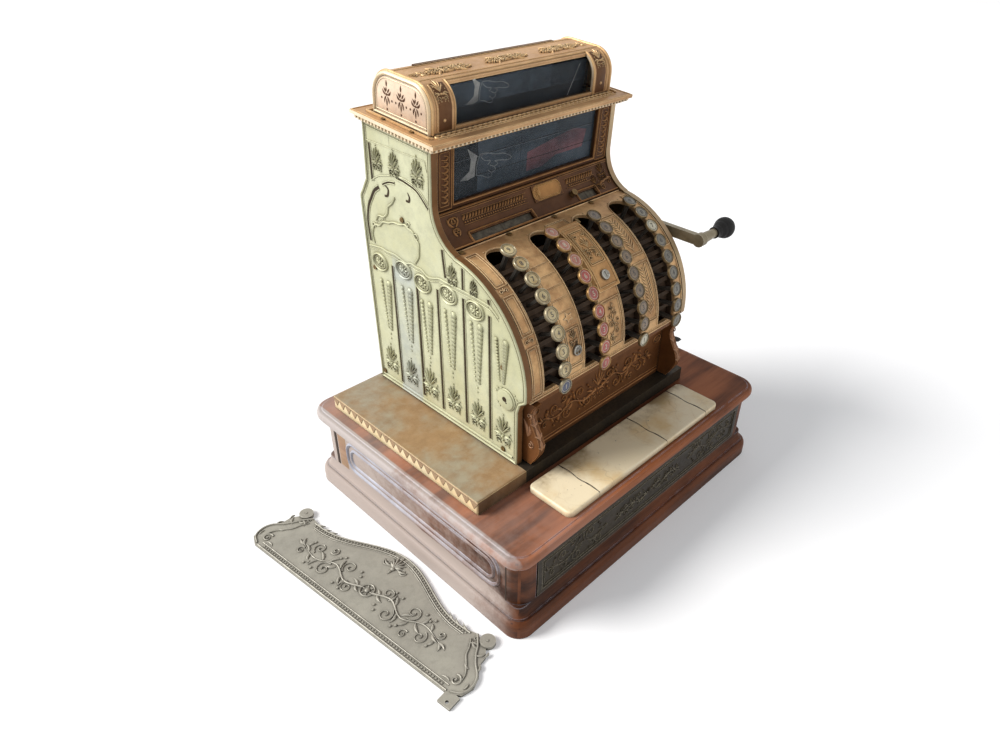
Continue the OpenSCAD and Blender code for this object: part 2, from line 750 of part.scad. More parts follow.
panel_screws = [[drum_y - 96, drum_z + 24], [head_y + 60, drum_z + 150], [head_y + 126, drum_z + 66],
    [iron_front + 40, iron_z + 12], [rear_low - 14, iron_z + 12]];
drum_screws = [-141, -65.5, 13.5, 84.5];
module fasteners() {
    color([0.4, 0.33, 0.2]) {
        for (p = panel_screws) {
            translate([cab_l, p[0], p[1]]) rotate([0, -90, 0]) screw();
            translate([cab_r, p[0], p[1]]) rotate([0, 90, 0]) screw();
        }
        for (x = drum_screws) on_drum(cab_shift + x, 84) translate([0, 0, drum_r]) screw();
        for (x = [cab_shift - hood_w/2 - 7, cab_shift + hood_w/2 + 7], v = [30, 80])
            leaned() translate([x, v, cor_top]) screw();
        translate([cab_l, drum_y - 102, drum_z - 18]) rotate([0, -90, 0]) lock(12.5);
        on_drum((bank_x[0] + bank_x[1])/2 + 3, 11) translate([0, 0, drum_r]) lock(6.5);
        // small knob on the apron
        translate([cab_shift + 64.5, waist_y, waist_z]) rotate([-46, 0, 0]) translate([0, apron_r - 0.2, 0])
            rotate([90, 0, 0]) cylinder(r = 4, h = 7);
        lid_hinge();
    }
}

// ---------- nodes ----------

base_case();
top_board();
drawer_box();
drawer_front();
marble_shelf();
base_plate();
ledge_cover();
left_panel();
right_panel();
back_cover();
window_frame();
key_drum();
key_banks();
front_plate();
cornice();
hood();
window_glass();
counter_lid();
crank_arm();
crank_grip();
main_gear();
side_lever();
top_sign();
fasteners();
for (c = [0:3], i = [1:9]) key_node(c, i);
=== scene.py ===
import math

import bmesh
import bpy
import numpy as np
from mathutils import Matrix, Vector


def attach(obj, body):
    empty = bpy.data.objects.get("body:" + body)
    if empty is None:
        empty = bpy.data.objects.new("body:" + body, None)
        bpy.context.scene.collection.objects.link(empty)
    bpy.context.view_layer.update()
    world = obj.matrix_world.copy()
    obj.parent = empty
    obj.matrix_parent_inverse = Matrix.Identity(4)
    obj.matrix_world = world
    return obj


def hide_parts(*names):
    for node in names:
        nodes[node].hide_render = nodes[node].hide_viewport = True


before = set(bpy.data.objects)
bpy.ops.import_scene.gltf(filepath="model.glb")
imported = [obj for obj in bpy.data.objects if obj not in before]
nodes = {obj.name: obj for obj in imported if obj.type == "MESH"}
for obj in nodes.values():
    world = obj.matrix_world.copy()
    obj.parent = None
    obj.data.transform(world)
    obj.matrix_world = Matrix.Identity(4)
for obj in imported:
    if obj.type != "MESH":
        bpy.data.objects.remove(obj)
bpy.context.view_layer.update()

# ---------------------------------------------------------------------------
# Camera, floor and soft studio light
# The register stands on a white floor. Broad daylight comes from the left and a little
# from behind, and a weak lamp in front opens the shadows.
azimuth, height_angle, roll = math.radians(-46.39), math.radians(34.53), math.radians(-1.40)
back = Vector((math.sin(azimuth) * math.cos(height_angle), -math.cos(azimuth) * math.cos(height_angle),
               math.sin(height_angle)))
level = (-back).cross(Vector((0, 0, 1))).normalized()
down = (-back).cross(level)
right = math.cos(roll) * level + math.sin(roll) * down
up = math.sin(roll) * level - math.cos(roll) * down
camera = bpy.data.objects.new("camera", bpy.data.cameras.new("camera"))
aimed = Matrix((right, up, back)).transposed().to_4x4()
camera.matrix_world = Matrix.Translation((-0.634, -0.561, 0.7411)) @ aimed
camera.data.sensor_width = 36
camera.data.lens = 26.546
camera.data.shift_x = -0.0275
camera.data.shift_y = 0.0027
camera.data.clip_start = 0.02
bpy.context.scene.collection.objects.link(camera)
bpy.context.scene.camera = camera
bpy.context.scene.view_settings.view_transform = "Standard"


def put(tree, kind, inputs=None, **settings):
    """Adds a shader node; an input is a value or another node's output."""
    n = tree.nodes.new(kind)
    for key, value in settings.items():
        setattr(n, key, value)
    for key, value in (inputs or {}).items():
        if isinstance(value, bpy.types.NodeSocket):
            tree.links.new(value, n.inputs[key])
        else:
            n.inputs[key].default_value = value
    return n


def math_of(tree, operation, a, b=0.0, clamp=False):
    """One sum on shader values."""
    return put(tree, "ShaderNodeMath", {0: a, 1: b}, operation=operation, use_clamp=clamp).outputs[0]


def shown_directly(tree):
    """1 for what the camera sees itself, in a reflection or through glass."""
    path = put(tree, "ShaderNodeLightPath")
    seen = math_of(tree, "MAXIMUM", path.outputs["Is Camera Ray"], path.outputs["Is Glossy Ray"])
    return math_of(tree, "MAXIMUM", seen, path.outputs["Is Transmission Ray"])


world = bpy.data.worlds.new("white studio")
bpy.context.scene.world = world
world.use_nodes = True
sky = world.node_tree
sky.nodes.clear()
soft = put(sky, "ShaderNodeBackground", {"Color": (0.93, 0.96, 1.0, 1), "Strength": 0.38})
white = put(sky, "ShaderNodeBackground", {"Color": (1, 1, 1, 1), "Strength": 1.0})
either = put(sky, "ShaderNodeMixShader", {0: shown_directly(sky), 1: soft.outputs[0], 2: white.outputs[0]})
put(sky, "ShaderNodeOutputWorld", {"Surface": either.outputs[0]})

floor_mesh = bpy.data.meshes.new("floor")
FLOOR = 6
floor_mesh.from_pydata([(-FLOOR, -FLOOR, 0), (FLOOR, -FLOOR, 0), (FLOOR, FLOOR, 0), (-FLOOR, FLOOR, 0)], [],
                       [(0, 1, 2, 3)])
floor = bpy.data.objects.new("floor", floor_mesh)
bpy.context.scene.collection.objects.link(floor)
paper = bpy.data.materials.new("white floor")
paper.use_nodes = True
t = paper.node_tree
t.nodes.clear()
matt = put(t, "ShaderNodeBsdfDiffuse", {"Color": (0.86, 0.86, 0.87, 1)})
glow = put(t, "ShaderNodeEmission", {"Color": (1, 1, 1, 1), "Strength": 0.19})
lit = put(t, "ShaderNodeAddShader", {0: matt.outputs[0], 1: glow.outputs[0]})
plain = put(t, "ShaderNodeBsdfDiffuse", {"Color": (0.8, 0.8, 0.8, 1)})
shown = put(t, "ShaderNodeMixShader", {0: shown_directly(t), 1: plain.outputs[0], 2: lit.outputs[0]})
put(t, "ShaderNodeOutputMaterial", {"Surface": shown.outputs[0]})
floor_mesh.materials.append(paper)

lamps = (("daylight", "SUN", (-1.6, 1.3, 1.75), 0.5, 4.1, (1.0, 0.985, 0.96)),
         ("fill", "AREA", (0.9, -2.4, 1.3), 1.6, 9, (1.0, 0.97, 0.94)))
for lamp_name, kind, place, size, power, tint in lamps:
    lamp = bpy.data.lights.new(lamp_name, kind)
    lamp.energy = power
    lamp.color = tint
    if kind == "SUN":
        lamp.angle = size
    else:
        lamp.size = size
    stand = bpy.data.objects.new(lamp_name, lamp)
    aim = Vector((0, 0, 0.25)) - Vector(place)
    stand.matrix_world = Matrix.Translation(place) @ aim.to_track_quat("-Z", "Y").to_matrix().to_4x4()
    bpy.context.scene.collection.objects.link(stand)

# ---------------------------------------------------------------------------
# Wooden drawer case
# Stained oak carcass with rounded corner posts, a mitred plinth moulding and a
# nosed top board. Two beads run round each side panel; all of it is glued and pinned.


def tone(red, green, blue):
    """A colour of a finish, from 0 to 255 as a paint card gives it."""
    return tuple((c / 255 / 12.92) if c <= 10 else ((c / 255 + 0.055) / 1.055) ** 2.4
                 for c in (red, green, blue)) + (1.0,)


def blend_colours(tree, share, first, second, kind="MIX"):
    """Mixes a share of the second colour into the first."""
    mix = put(tree, "ShaderNodeMix", data_type="RGBA", blend_type=kind)
    for socket, value in ((mix.inputs["Factor"], share), (mix.inputs[6], first), (mix.inputs[7], second)):
        if isinstance(value, bpy.types.NodeSocket):
            tree.links.new(value, socket)
        else:
            socket.default_value = value
    return mix.outputs[2]


def ramp(tree, value, low, high, bottom=0.0, top=1.0):
    """Turns the range from low to high into bottom to top, with soft ends."""
    return put(tree, "ShaderNodeMapRange", {"Value": value, "From Min": low, "From Max": high, "To Min": bottom,
                                            "To Max": top}, interpolation_type="SMOOTHSTEP").outputs[0]


def noise(tree, where, scale, detail=4.0, rough=0.55):
    """Cloudy noise from 0 to 1."""
    return put(tree, "ShaderNodeTexNoise", {"Vector": where, "Scale": scale, "Detail": detail,
                                            "Roughness": rough}).outputs["Fac"]


def effect(name, inputs, outputs):
    """An empty shader group with named sockets: its tree, its inputs and its output node."""
    tree = bpy.data.node_groups.new(name, "ShaderNodeTree")
    for label, value in inputs:
        kind = "NodeSocketColor" if isinstance(value, tuple) else "NodeSocketFloat"
        tree.interface.new_socket(label, in_out="INPUT", socket_type=kind).default_value = value
    for label, kind in outputs:
        tree.interface.new_socket(label, in_out="OUTPUT", socket_type=kind)
    return tree, tree.nodes.new("NodeGroupInput").outputs, tree.nodes.new("NodeGroupOutput")


def rubbed_edges(tree, radius):
    """1 on outer edges, where hands and cloths have worn the finish and where the wood paints a sheen."""
    soft_normal = put(tree, "ShaderNodeBevel", {"Radius": radius}, samples=4).outputs[0]
    plain_normal = put(tree, "ShaderNodeNewGeometry").outputs["Normal"]
    turn = put(tree, "ShaderNodeVectorMath", {0: soft_normal, 1: plain_normal}, operation="DOT_PRODUCT")
    return ramp(tree, math_of(tree, "SUBTRACT", 1.0, turn.outputs["Value"]), 0.02, 0.22)


def sheltered(tree, reach, low=0.25, high=0.8):
    """1 in corners and recesses, where dirt stays and where the finishes paint shade."""
    open_sky = put(tree, "ShaderNodeAmbientOcclusion", {"Distance": reach}, samples=4).outputs["AO"]
    return ramp(tree, open_sky, low, high, 1.0, 0.0)


# old wood: long grain, fine pores, worn edges with a painted sheen, a painted sheen on the lit left side, grey dirt
# and painted shade in the corners
wood_group, wood_in, wood_out = effect(
    "old wood", [("Light", tone(150, 95, 60)), ("Dark", tone(60, 32, 20)), ("Wear and sheen", tone(190, 180, 180)),
                 ("Painted sheen", tone(140, 130, 135)), ("Painted sheen share", 0.2), ("Wear and sheen edge", 0.5), ("Grain turn", 0.0)],
    [("Color", "NodeSocketColor"), ("Roughness", "NodeSocketFloat"), ("Height", "NodeSocketFloat")])
t = wood_group
place = put(t, "ShaderNodeTexCoord").outputs["Object"]
side_on = put(t, "ShaderNodeSeparateXYZ", {0: put(t, "ShaderNodeNewGeometry").outputs["True Normal"]}).outputs[0]
side_on = math_of(t, "MAXIMUM", ramp(t, math_of(t, "ABSOLUTE", side_on), 0.68, 0.72), wood_in["Grain turn"])
along_front = put(t, "ShaderNodeMapping", {"Vector": place, "Scale": (3.2, 34, 34)}).outputs[0]
along_side = put(t, "ShaderNodeMapping", {"Vector": place, "Scale": (34, 3.2, 34)}).outputs[0]
grain_place = blend_colours(t, side_on, along_front, along_side)
band = noise(t, grain_place, 1.0, 7, 0.6)
pores = noise(t, grain_place, 9.0, 3, 0.7)
stain = noise(t, place, 9.0, 4)
marks = noise(t, place, 55.0, 5, 0.7)
deep = math_of(t, "ADD", math_of(t, "MULTIPLY", band, 0.7), math_of(t, "MULTIPLY", stain, 0.3))
skin = blend_colours(t, ramp(t, deep, 0.36, 0.64), wood_in["Dark"], wood_in["Light"])
skin = blend_colours(t, ramp(t, pores, 0.36, 0.2), skin, wood_in["Dark"])
spot = put(t, "ShaderNodeSeparateXYZ", {0: place}).outputs
# the lit left side is paled, more towards the back, on the plinth and along the board's nosing: a painted sheen
foot = ramp(t, spot[2], 0.044, 0.04)
by_depth = math_of(t, "MAXIMUM", ramp(t, spot[1], -0.06, 0.19, 0.0, 0.85),
                   math_of(t, "MULTIPLY", foot, ramp(t, spot[1], -0.2, -0.06, 0.2, 0.75)))
pale = math_of(t, "ADD",
               ramp(t, math_of(t, "ADD", stain, math_of(t, "MULTIPLY", marks, 0.6)), 0.62, 0.98, 0.0, 0.5),
               by_depth)
pale = math_of(t, "ADD", pale, ramp(t, spot[2], 0.1035, 0.1045, 0.0, 0.22))
lit_side = math_of(t, "ADD", ramp(t, spot[0], -0.2395, -0.2425), ramp(t, spot[0], 0.0, -0.24, 0.0, 0.3))
pale = math_of(t, "MULTIPLY", pale, math_of(t, "MULTIPLY", lit_side, math_of(
    t, "MAXIMUM", ramp(t, spot[1], -0.188, -0.148), ramp(t, spot[2], 0.1035, 0.1045))))
pale = math_of(t, "MULTIPLY", pale, wood_in["Painted sheen share"], True)
skin = blend_colours(t, pale, skin, wood_in["Painted sheen"])
# edges lightened: wear, and on the case, board and beads a painted bluish sheen
bright_edges = math_of(t, "MULTIPLY", rubbed_edges(t, 0.0022), wood_in["Wear and sheen edge"])
bright_edges = math_of(t, "MULTIPLY", bright_edges, ramp(t, marks, 0.3, 0.6))
skin = blend_colours(t, bright_edges, skin, wood_in["Wear and sheen"])
# corners darkened: dirt and painted shade
skin = blend_colours(t, math_of(t, "MULTIPLY", sheltered(t, 0.008, 0.2, 0.75), 0.75), skin, tone(30, 20, 15))
t.links.new(skin, wood_out.inputs["Color"])
t.links.new(ramp(t, deep, 0.3, 0.7, 0.52, 0.36), wood_out.inputs["Roughness"])
t.links.new(math_of(t, "ADD", pores, math_of(t, "MULTIPLY", marks, 0.4)), wood_out.inputs["Height"])


def finish(name, group, values, bump=0.15, bump_depth=0.0004, coat=0.0, specular=0.5):
    """A material: one principled surface, driven by an effect group with its own values."""
    material = bpy.data.materials.new(name)
    material.use_nodes = True
    tree = material.node_tree
    tree.nodes.clear()
    surface = put(tree, "ShaderNodeBsdfPrincipled", {"Metallic": 0.0, "Coat Weight": coat, "Coat Roughness": 0.25,
                                                     "Specular IOR Level": specular})
    source = tree.nodes.new("ShaderNodeGroup")
    source.node_tree = group
    for label, value in values.items():
        source.inputs[label].default_value = value
    for label in ("Color", "Roughness", "Metallic"):
        if label in source.outputs:
            tree.links.new(source.outputs[label], surface.inputs["Base Color" if label == "Color" else label])
    relief = put(tree, "ShaderNodeBump", {"Height": source.outputs["Height"], "Strength": bump,
                                          "Distance": bump_depth})
    tree.links.new(relief.outputs[0], surface.inputs["Normal"])
    put(tree, "ShaderNodeOutputMaterial", {"Surface": surface.outputs[0]})
    return material


def dress(material, *names):
    """Gives nodes their finish."""
    for name in names:
        for slot in nodes[name].material_slots:
            slot.material = material


# the pale greys that these woods give their lit left side and their edges are a painted sheen, on the edges together
# with wear
case_wood = finish("case wood", wood_group, {
    "Light": tone(120, 68, 38), "Dark": tone(50, 27, 17), "Wear and sheen": tone(160, 160, 170),
    "Painted sheen": tone(172, 158, 150), "Painted sheen share": 1.0, "Wear and sheen edge": 0.7}, bump=0.35, coat=0.03, specular=0.12)
board_wood = finish("board wood", wood_group, {
    "Light": tone(164, 98, 60), "Dark": tone(82, 44, 27), "Wear and sheen": tone(196, 198, 212),
    "Painted sheen": tone(182, 172, 168), "Painted sheen share": 1.0, "Wear and sheen edge": 0.9}, bump=0.3, coat=0.03, specular=0.12)
# the beads take a paler, greyer copy of the case wood: a painted highlight on their rounds
highlit_bead_wood = finish("bead wood with painted highlight", wood_group, {
    "Light": tone(150, 122, 108), "Dark": tone(92, 68, 56), "Wear and sheen": tone(176, 180, 194),
    "Painted sheen": tone(166, 168, 180), "Painted sheen share": 0.8, "Wear and sheen edge": 1.0}, bump=0.3, coat=0.05, specular=0.25)
drawer_wood = finish("drawer wood", wood_group, {
    "Light": tone(176, 134, 90), "Dark": tone(124, 86, 54), "Wear and sheen": tone(196, 166, 126), "Wear and sheen edge": 0.4},
                     bump=0.25, specular=0.2)
dress(case_wood, "base_case")
dress(board_wood, "top_board")

ROUND = ((-1, 0), (-0.6, 0.72), (0, 1), (0.6, 0.72), (1, 0))
SQUARE = ((-1, 0), (-0.8, 1), (0.8, 1), (1, 0))


def rib(path, wide, high, section=ROUND, closed=False, sink=0.3):
    """A raised moulding along (u, v) points; its half widths and heights are spread over its length."""
    path = np.asarray(path, float)
    n, m = len(path), len(section)
    along = np.roll(path, -1, 0) - np.roll(path, 1, 0) if closed else np.gradient(path, axis=0)
    along /= np.maximum(np.linalg.norm(along, axis=1, keepdims=True), 1e-9)
    across = np.stack([-along[:, 1], along[:, 0]], 1)
    t = np.linspace(0, 1, n)
    wide, high = np.atleast_1d(wide), np.atleast_1d(high)
    w = np.interp(t, np.linspace(0, 1, len(wide)), wide)
    h = np.interp(t, np.linspace(0, 1, len(high)), high)
    a, b = np.array(section, float).T
    flat = path[:, None] + across[:, None] * (w[:, None] * a)[:, :, None]
    up = h[:, None] * b - sink * (b == 0)
    points = np.concatenate([flat, up[:, :, None]], 2).reshape(-1, 3)
    faces = [(i * m + k, i * m + (k + 1) % m, (i + 1) % n * m + (k + 1) % m, (i + 1) % n * m + k)
             for i in range(n if closed else n - 1) for k in range(m)]
    if not closed:
        faces += [tuple(range(m)), tuple((n - 1) * m + k for k in reversed(range(m)))]
    return points, faces


def curve(points, steps=5):
    """A smooth line through points."""
    p = np.asarray(points, float)
    p = np.concatenate([2 * p[:1] - p[1:2], p, 2 * p[-1:] - p[-2:-1]])
    t = np.linspace(0, 1, steps, endpoint=False)[:, None]
    rows = [0.5 * ((2 * p[i + 1]) + (p[i + 2] - p[i]) * t
                   + (2 * p[i] - 5 * p[i + 1] + 4 * p[i + 2] - p[i + 3]) * t ** 2
                   + (3 * p[i + 1] - p[i] - 3 * p[i + 2] + p[i + 3]) * t ** 3) for i in range(len(p) - 3)]
    return np.concatenate(rows + [p[-2:-1]])


def loop(u0, v0, u1, v1, r, steps=5):
    """A rectangle with rounded corners."""
    path = []
    for cu, cv, start in ((u1 - r, v1 - r, 0), (u0 + r, v1 - r, 90), (u0 + r, v0 + r, 180), (u1 - r, v0 + r, 270)):
        for k in range(steps + 1):
            a = math.radians(start + 90 * k / steps)
            path.append((cu + r * math.cos(a), cv + r * math.sin(a)))
    return path


def boss(outline, height, inset=0.8, sink=0.3):
    """A low raised plate with sloped edges, on a closed (u, v) outline."""
    p = np.asarray(outline, float)
    along = np.roll(p, -1, 0) - np.roll(p, 1, 0)
    along /= np.maximum(np.linalg.norm(along, axis=1, keepdims=True), 1e-9)
    area = np.sum(p[:, 0] * np.roll(p[:, 1], -1) - p[:, 1] * np.roll(p[:, 0], -1))
    inner = p + np.stack([-along[:, 1], along[:, 0]], 1) * inset * (1 if area > 0 else -1)
    n = len(p)
    points = np.concatenate([np.c_[p, np.full(n, -sink)], np.c_[p, np.full(n, height * 0.5)],
                             np.c_[inner, np.full(n, height)]])
    faces = [(r * n + k, r * n + (k + 1) % n, (r + 1) * n + (k + 1) % n, (r + 1) * n + k) for r in (0, 1)
             for k in range(n)]
    return points, faces + [tuple(range(n)), tuple(2 * n + k for k in reversed(range(n)))]


def circle(u, v, r, n=16, r2=None):
    """A circle, or an oval where r2 is its half height."""
    return [(u + r * math.cos(2 * math.pi * k / n), v + (r2 or r) * math.sin(2 * math.pi * k / n))
            for k in range(n)]


def laid(shapes, surface):
    """Puts flat (u, v, height) shapes on a surface."""
    return [(np.array([surface(*p) for p in s[0]]), *s[1:]) for s in shapes]


def turn_outwards(mesh):
    """Makes the faces of closed shapes point outwards."""
    form = bmesh.new()
    form.from_mesh(mesh)
    bmesh.ops.recalc_face_normals(form, faces=form.faces)
    form.to_mesh(mesh)
    form.free()


MM = 0.001


def cast(name, shapes, body, *finishes, sharp=40):
    """One piece in metres from closed shapes in millimetres; a shape may name the number of its finish."""
    points, faces, kinds, start = [], [], [], 0
    for s in shapes:
        points.append(np.asarray(s[0], float) * MM)
        faces += [tuple(start + k for k in f) for f in s[1]]
        kinds += [s[2] if len(s) > 2 else 0] * len(s[1])
        start += len(s[0])
    mesh = bpy.data.meshes.new(name)
    mesh.from_pydata(np.concatenate(points).tolist(), [], faces)
    mesh.polygons.foreach_set("material_index", kinds)
    turn_outwards(mesh)
    mesh.polygons.foreach_set("use_smooth", [True] * len(mesh.polygons))
    mesh.set_sharp_from_angle(angle=math.radians(sharp))
    for material in finishes:
        mesh.materials.append(material)
    thing = bpy.data.objects.new(name, mesh)
    bpy.context.scene.collection.objects.link(thing)
    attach(thing, body)
    return thing


CASE_SIDE = 242


def left_side(u, v, h):
    """The left side of the case: u back, v up, h outwards."""
    return -CASE_SIDE - h, u, v


def right_side(u, v, h):
    """The right side of the case: u back, v up, h outwards."""
    return CASE_SIDE + h, u, v


case_beads = [rib(loop(-150, 50, 150, 98, 18, 7), 2.6, 2.6, closed=True),
              rib(loop(-141, 59.5, 141, 88.5, 12, 6), 2.4, 2.2, closed=True)]
post_line = [rib([(-161, 41), (-161, 103)], 0.9, 0.3, SQUARE), rib([(177, 41), (177, 103)], 3.6, 0.3, SQUARE)]
bare_patch = boss([(153.4, 42.5), (172, 42.5), (172, 101), (153.4, 101)], 0.14, 0.3)
cast("case_bare_wood", laid([bare_patch], left_side), "base", drawer_wood)
cast("case_beads", laid(case_beads, left_side) + laid(case_beads, right_side), "base", highlit_bead_wood)
seam_dark = bpy.data.materials.new("open seam")
seam_dark.use_nodes = True
t = seam_dark.node_tree
speck = noise(t, put(t, "ShaderNodeTexCoord").outputs["Object"], 400.0)
t.links.new(blend_colours(t, speck, tone(30, 20, 13), tone(60, 42, 28)),
            t.nodes["Principled BSDF"].inputs["Base Color"])
t.nodes["Principled BSDF"].inputs["Roughness"].default_value = 0.8
cast("case_seams", laid(post_line, left_side) + laid(post_line, right_side), "base", seam_dark)

# ---------------------------------------------------------------------------
# Cash drawer
# Softwood box with five coin cups and four note wells, behind a cast front plate of
# blackened bronze that is pinned to the drawer and runs with it.

# aged casting: colour patches, rubbed high spots, dirt and painted shade in the low ones, a sandy cast skin, and
# side colours that paint light and shade on faces along X
casting_group, casting_in, casting_out = effect(
    "aged casting", [("Metal", tone(150, 105, 62)), ("Rubbed", tone(214, 170, 110)),
                     ("Tarnish", tone(105, 72, 44)), ("Dirt and shade", tone(38, 26, 18)), ("Patch scale", 22.0),
                     ("Tarnish share", 0.6), ("Dirt and shade share", 0.9), ("Dirt reach", 0.0035), ("Dirt low", 0.35),
                     ("Dirt high", 0.92), ("Rubbing", 0.6), ("Edge", 0.0012), ("Shine", 0.36), ("Metalness", 0.3),
                     ("Side", tone(150, 105, 62)), ("Side tarnish", tone(120, 90, 60)), ("Side share", 0.0),
                     ("Stripe from", 9.0), ("Stripe to", 9.1), ("Stripe", tone(150, 152, 150))],
    [("Color", "NodeSocketColor"), ("Roughness", "NodeSocketFloat"), ("Metallic", "NodeSocketFloat"),
     ("Height", "NodeSocketFloat")])
t = casting_group
place = put(t, "ShaderNodeTexCoord").outputs["Object"]
clouds = noise(t, place, casting_in["Patch scale"], 6, 0.62)
mottle = noise(t, place, math_of(t, "MULTIPLY", casting_in["Patch scale"], 7.0), 5, 0.65)
sand = noise(t, place, 1400.0, 3, 0.6)
# faces that look along X take the side colours: painted light on a lit side, painted shade on a shaded one
facing = put(t, "ShaderNodeSeparateXYZ", {0: put(t, "ShaderNodeNewGeometry").outputs["True Normal"]}).outputs[0]
facing = math_of(t, "MULTIPLY", ramp(t, math_of(t, "ABSOLUTE", facing), 0.6, 0.8), casting_in["Side share"])
skin = blend_colours(t, math_of(t, "MULTIPLY",
                                ramp(t, math_of(t, "ADD", math_of(t, "MULTIPLY", clouds, 0.7),
                                                math_of(t, "MULTIPLY", mottle, 0.3)), 0.42, 0.6),
                                casting_in["Tarnish share"]),
                     blend_colours(t, facing, casting_in["Metal"], casting_in["Side"]),
                     blend_colours(t, facing, casting_in["Tarnish"], casting_in["Side tarnish"]))
depth = put(t, "ShaderNodeSeparateXYZ", {0: place}).outputs[1]
stripe = math_of(t, "MULTIPLY", ramp(t, depth, casting_in["Stripe from"],
                                     math_of(t, "ADD", casting_in["Stripe from"], 0.004)),
                 ramp(t, depth, math_of(t, "ADD", casting_in["Stripe to"], 0.004), casting_in["Stripe to"]))
stripe = math_of(t, "MULTIPLY", stripe, ramp(t, put(t, "ShaderNodeSeparateXYZ", {0: place}).outputs[2], 0.36, 0.32))
skin = blend_colours(t, math_of(t, "MULTIPLY", stripe, ramp(t, clouds, 0.3, 0.6, 0.2, 0.85)), skin,
                     casting_in["Stripe"])
speckle = ramp(t, math_of(t, "ADD", math_of(t, "MULTIPLY", mottle, 0.6), math_of(t, "MULTIPLY", sand, 0.4)),
               0.3, 0.62, 0.78, 1.08)
skin = blend_colours(t, 1.0, skin, put(t, "ShaderNodeCombineColor", {0: speckle, 1: speckle, 2: speckle}).outputs[0],
                     "MULTIPLY")
bright_edges = math_of(t, "MULTIPLY", rubbed_edges(t, casting_in["Edge"]), casting_in["Rubbing"], True)
bright_edges = math_of(t, "MULTIPLY", bright_edges, ramp(t, mottle, 0.25, 0.55, 0.35, 1.0))
skin = blend_colours(t, bright_edges, skin, casting_in["Rubbed"])
# low parts darkened: dirt and painted shade
dirt = math_of(t, "MULTIPLY", sheltered(t, casting_in["Dirt reach"], casting_in["Dirt low"],
                                        casting_in["Dirt high"]), casting_in["Dirt and shade share"], True)
skin = blend_colours(t, dirt, skin, casting_in["Dirt and shade"])
t.links.new(skin, casting_out.inputs["Color"])
rough = math_of(t, "ADD", casting_in["Shine"], ramp(t, mottle, 0.3, 0.7, 0.12, -0.04))
rough = math_of(t, "ADD", math_of(t, "ADD", rough, math_of(t, "MULTIPLY", dirt, 0.3)),
                math_of(t, "MULTIPLY", bright_edges, -0.08), True)
t.links.new(rough, casting_out.inputs["Roughness"])
t.links.new(math_of(t, "MULTIPLY", casting_in["Metalness"],
                    math_of(t, "SUBTRACT", 1.0, math_of(t, "MULTIPLY", dirt, 0.85))),
            casting_out.inputs["Metallic"])
t.links.new(math_of(t, "ADD", math_of(t, "MULTIPLY", sand, 0.55), math_of(t, "MULTIPLY", mottle, 0.8)),
            casting_out.inputs["Height"])


def casting(name, metal, rubbed, tarnish, dirt=(40, 28, 20), specular=0.2, **more):
    """A finish of aged cast metal: its colours, and any other input by its name."""
    values = {"Metal": tone(*metal), "Rubbed": tone(*rubbed), "Tarnish": tone(*tarnish), "Dirt and shade": tone(*dirt)}
    values.update({label.replace("_", " ").capitalize(): value for label, value in more.items()})
    return finish(name, casting_group, values, bump=0.35, bump_depth=0.0004, specular=specular)


black_bronze = casting("blackened bronze", (56, 48, 34), (178, 168, 144), (36, 30, 21), (18, 14, 10), metalness=0.2,
                       tarnish_share=0.7, rubbing=0.9, edge=0.0012, shine=0.34, dirt_reach=0.003)
dress(drawer_wood, "drawer_box")
dress(black_bronze, "drawer_front")


def scroll(u, v, r, start, turns=1.4, hand=1, wide=(0.9, 0.7, 0.8), high=(1.2, 1.0, 1.5)):
    """A spiral volute that winds in to its eye."""
    path = []
    for k in range(19):
        s = k / 18
        a = math.radians(start) + hand * 2 * math.pi * turns * s
        path.append((u + r * (1 - 0.86 * s) * math.cos(a), v + r * (1 - 0.86 * s) * math.sin(a)))
    return rib(path, wide, high)


def leaf(u, v, turn, long, wide, high=1.2, bend=0.0):
    """A pointed leaf from its stalk at (u, v); bend curls it to one side."""
    a = math.radians(turn)
    path = []
    for k in range(6):
        s = k / 5
        b = a + bend * s
        path.append((u + long * s * math.cos(b), v + long * s * math.sin(b)))
    return rib(path, (0.25 * wide, 0.5 * wide, 0.42 * wide, 0.08), (0.5 * high, high, high, 0.3 * high))


def button(u, v, r, high):
    """A small dome."""
    rings = [(r, -0.3), (r * 0.92, high * 0.45), (r * 0.55, high * 0.9)]
    points = [(u + q * math.cos(k * math.pi / 4), v + q * math.sin(k * math.pi / 4), z) for q, z in rings
              for k in range(8)] + [(u, v, high)]
    faces = [(r0 * 8 + k, r0 * 8 + (k + 1) % 8, r0 * 8 + 8 + (k + 1) % 8, r0 * 8 + 8 + k) for r0 in (0, 1)
             for k in range(8)]
    return np.array(points), faces + [(16 + k, 16 + (k + 1) % 8, 24) for k in range(8)] + [tuple(reversed(range(8)))]


def moved(shapes, u, v, turn=0.0, size=1.0, flip=1, lift=1.0):
    """Shapes set at (u, v), turned in degrees, sized, mirrored or made higher."""
    a = math.radians(turn)
    grown = []
    for s in shapes:
        p = np.array(s[0])
        x, y = p[:, 0] * flip * size, p[:, 1] * size
        grown.append((np.c_[u + x * math.cos(a) - y * math.sin(a), v + x * math.sin(a) + y * math.cos(a),
                            p[:, 2] * lift], *s[1:]))
    return grown


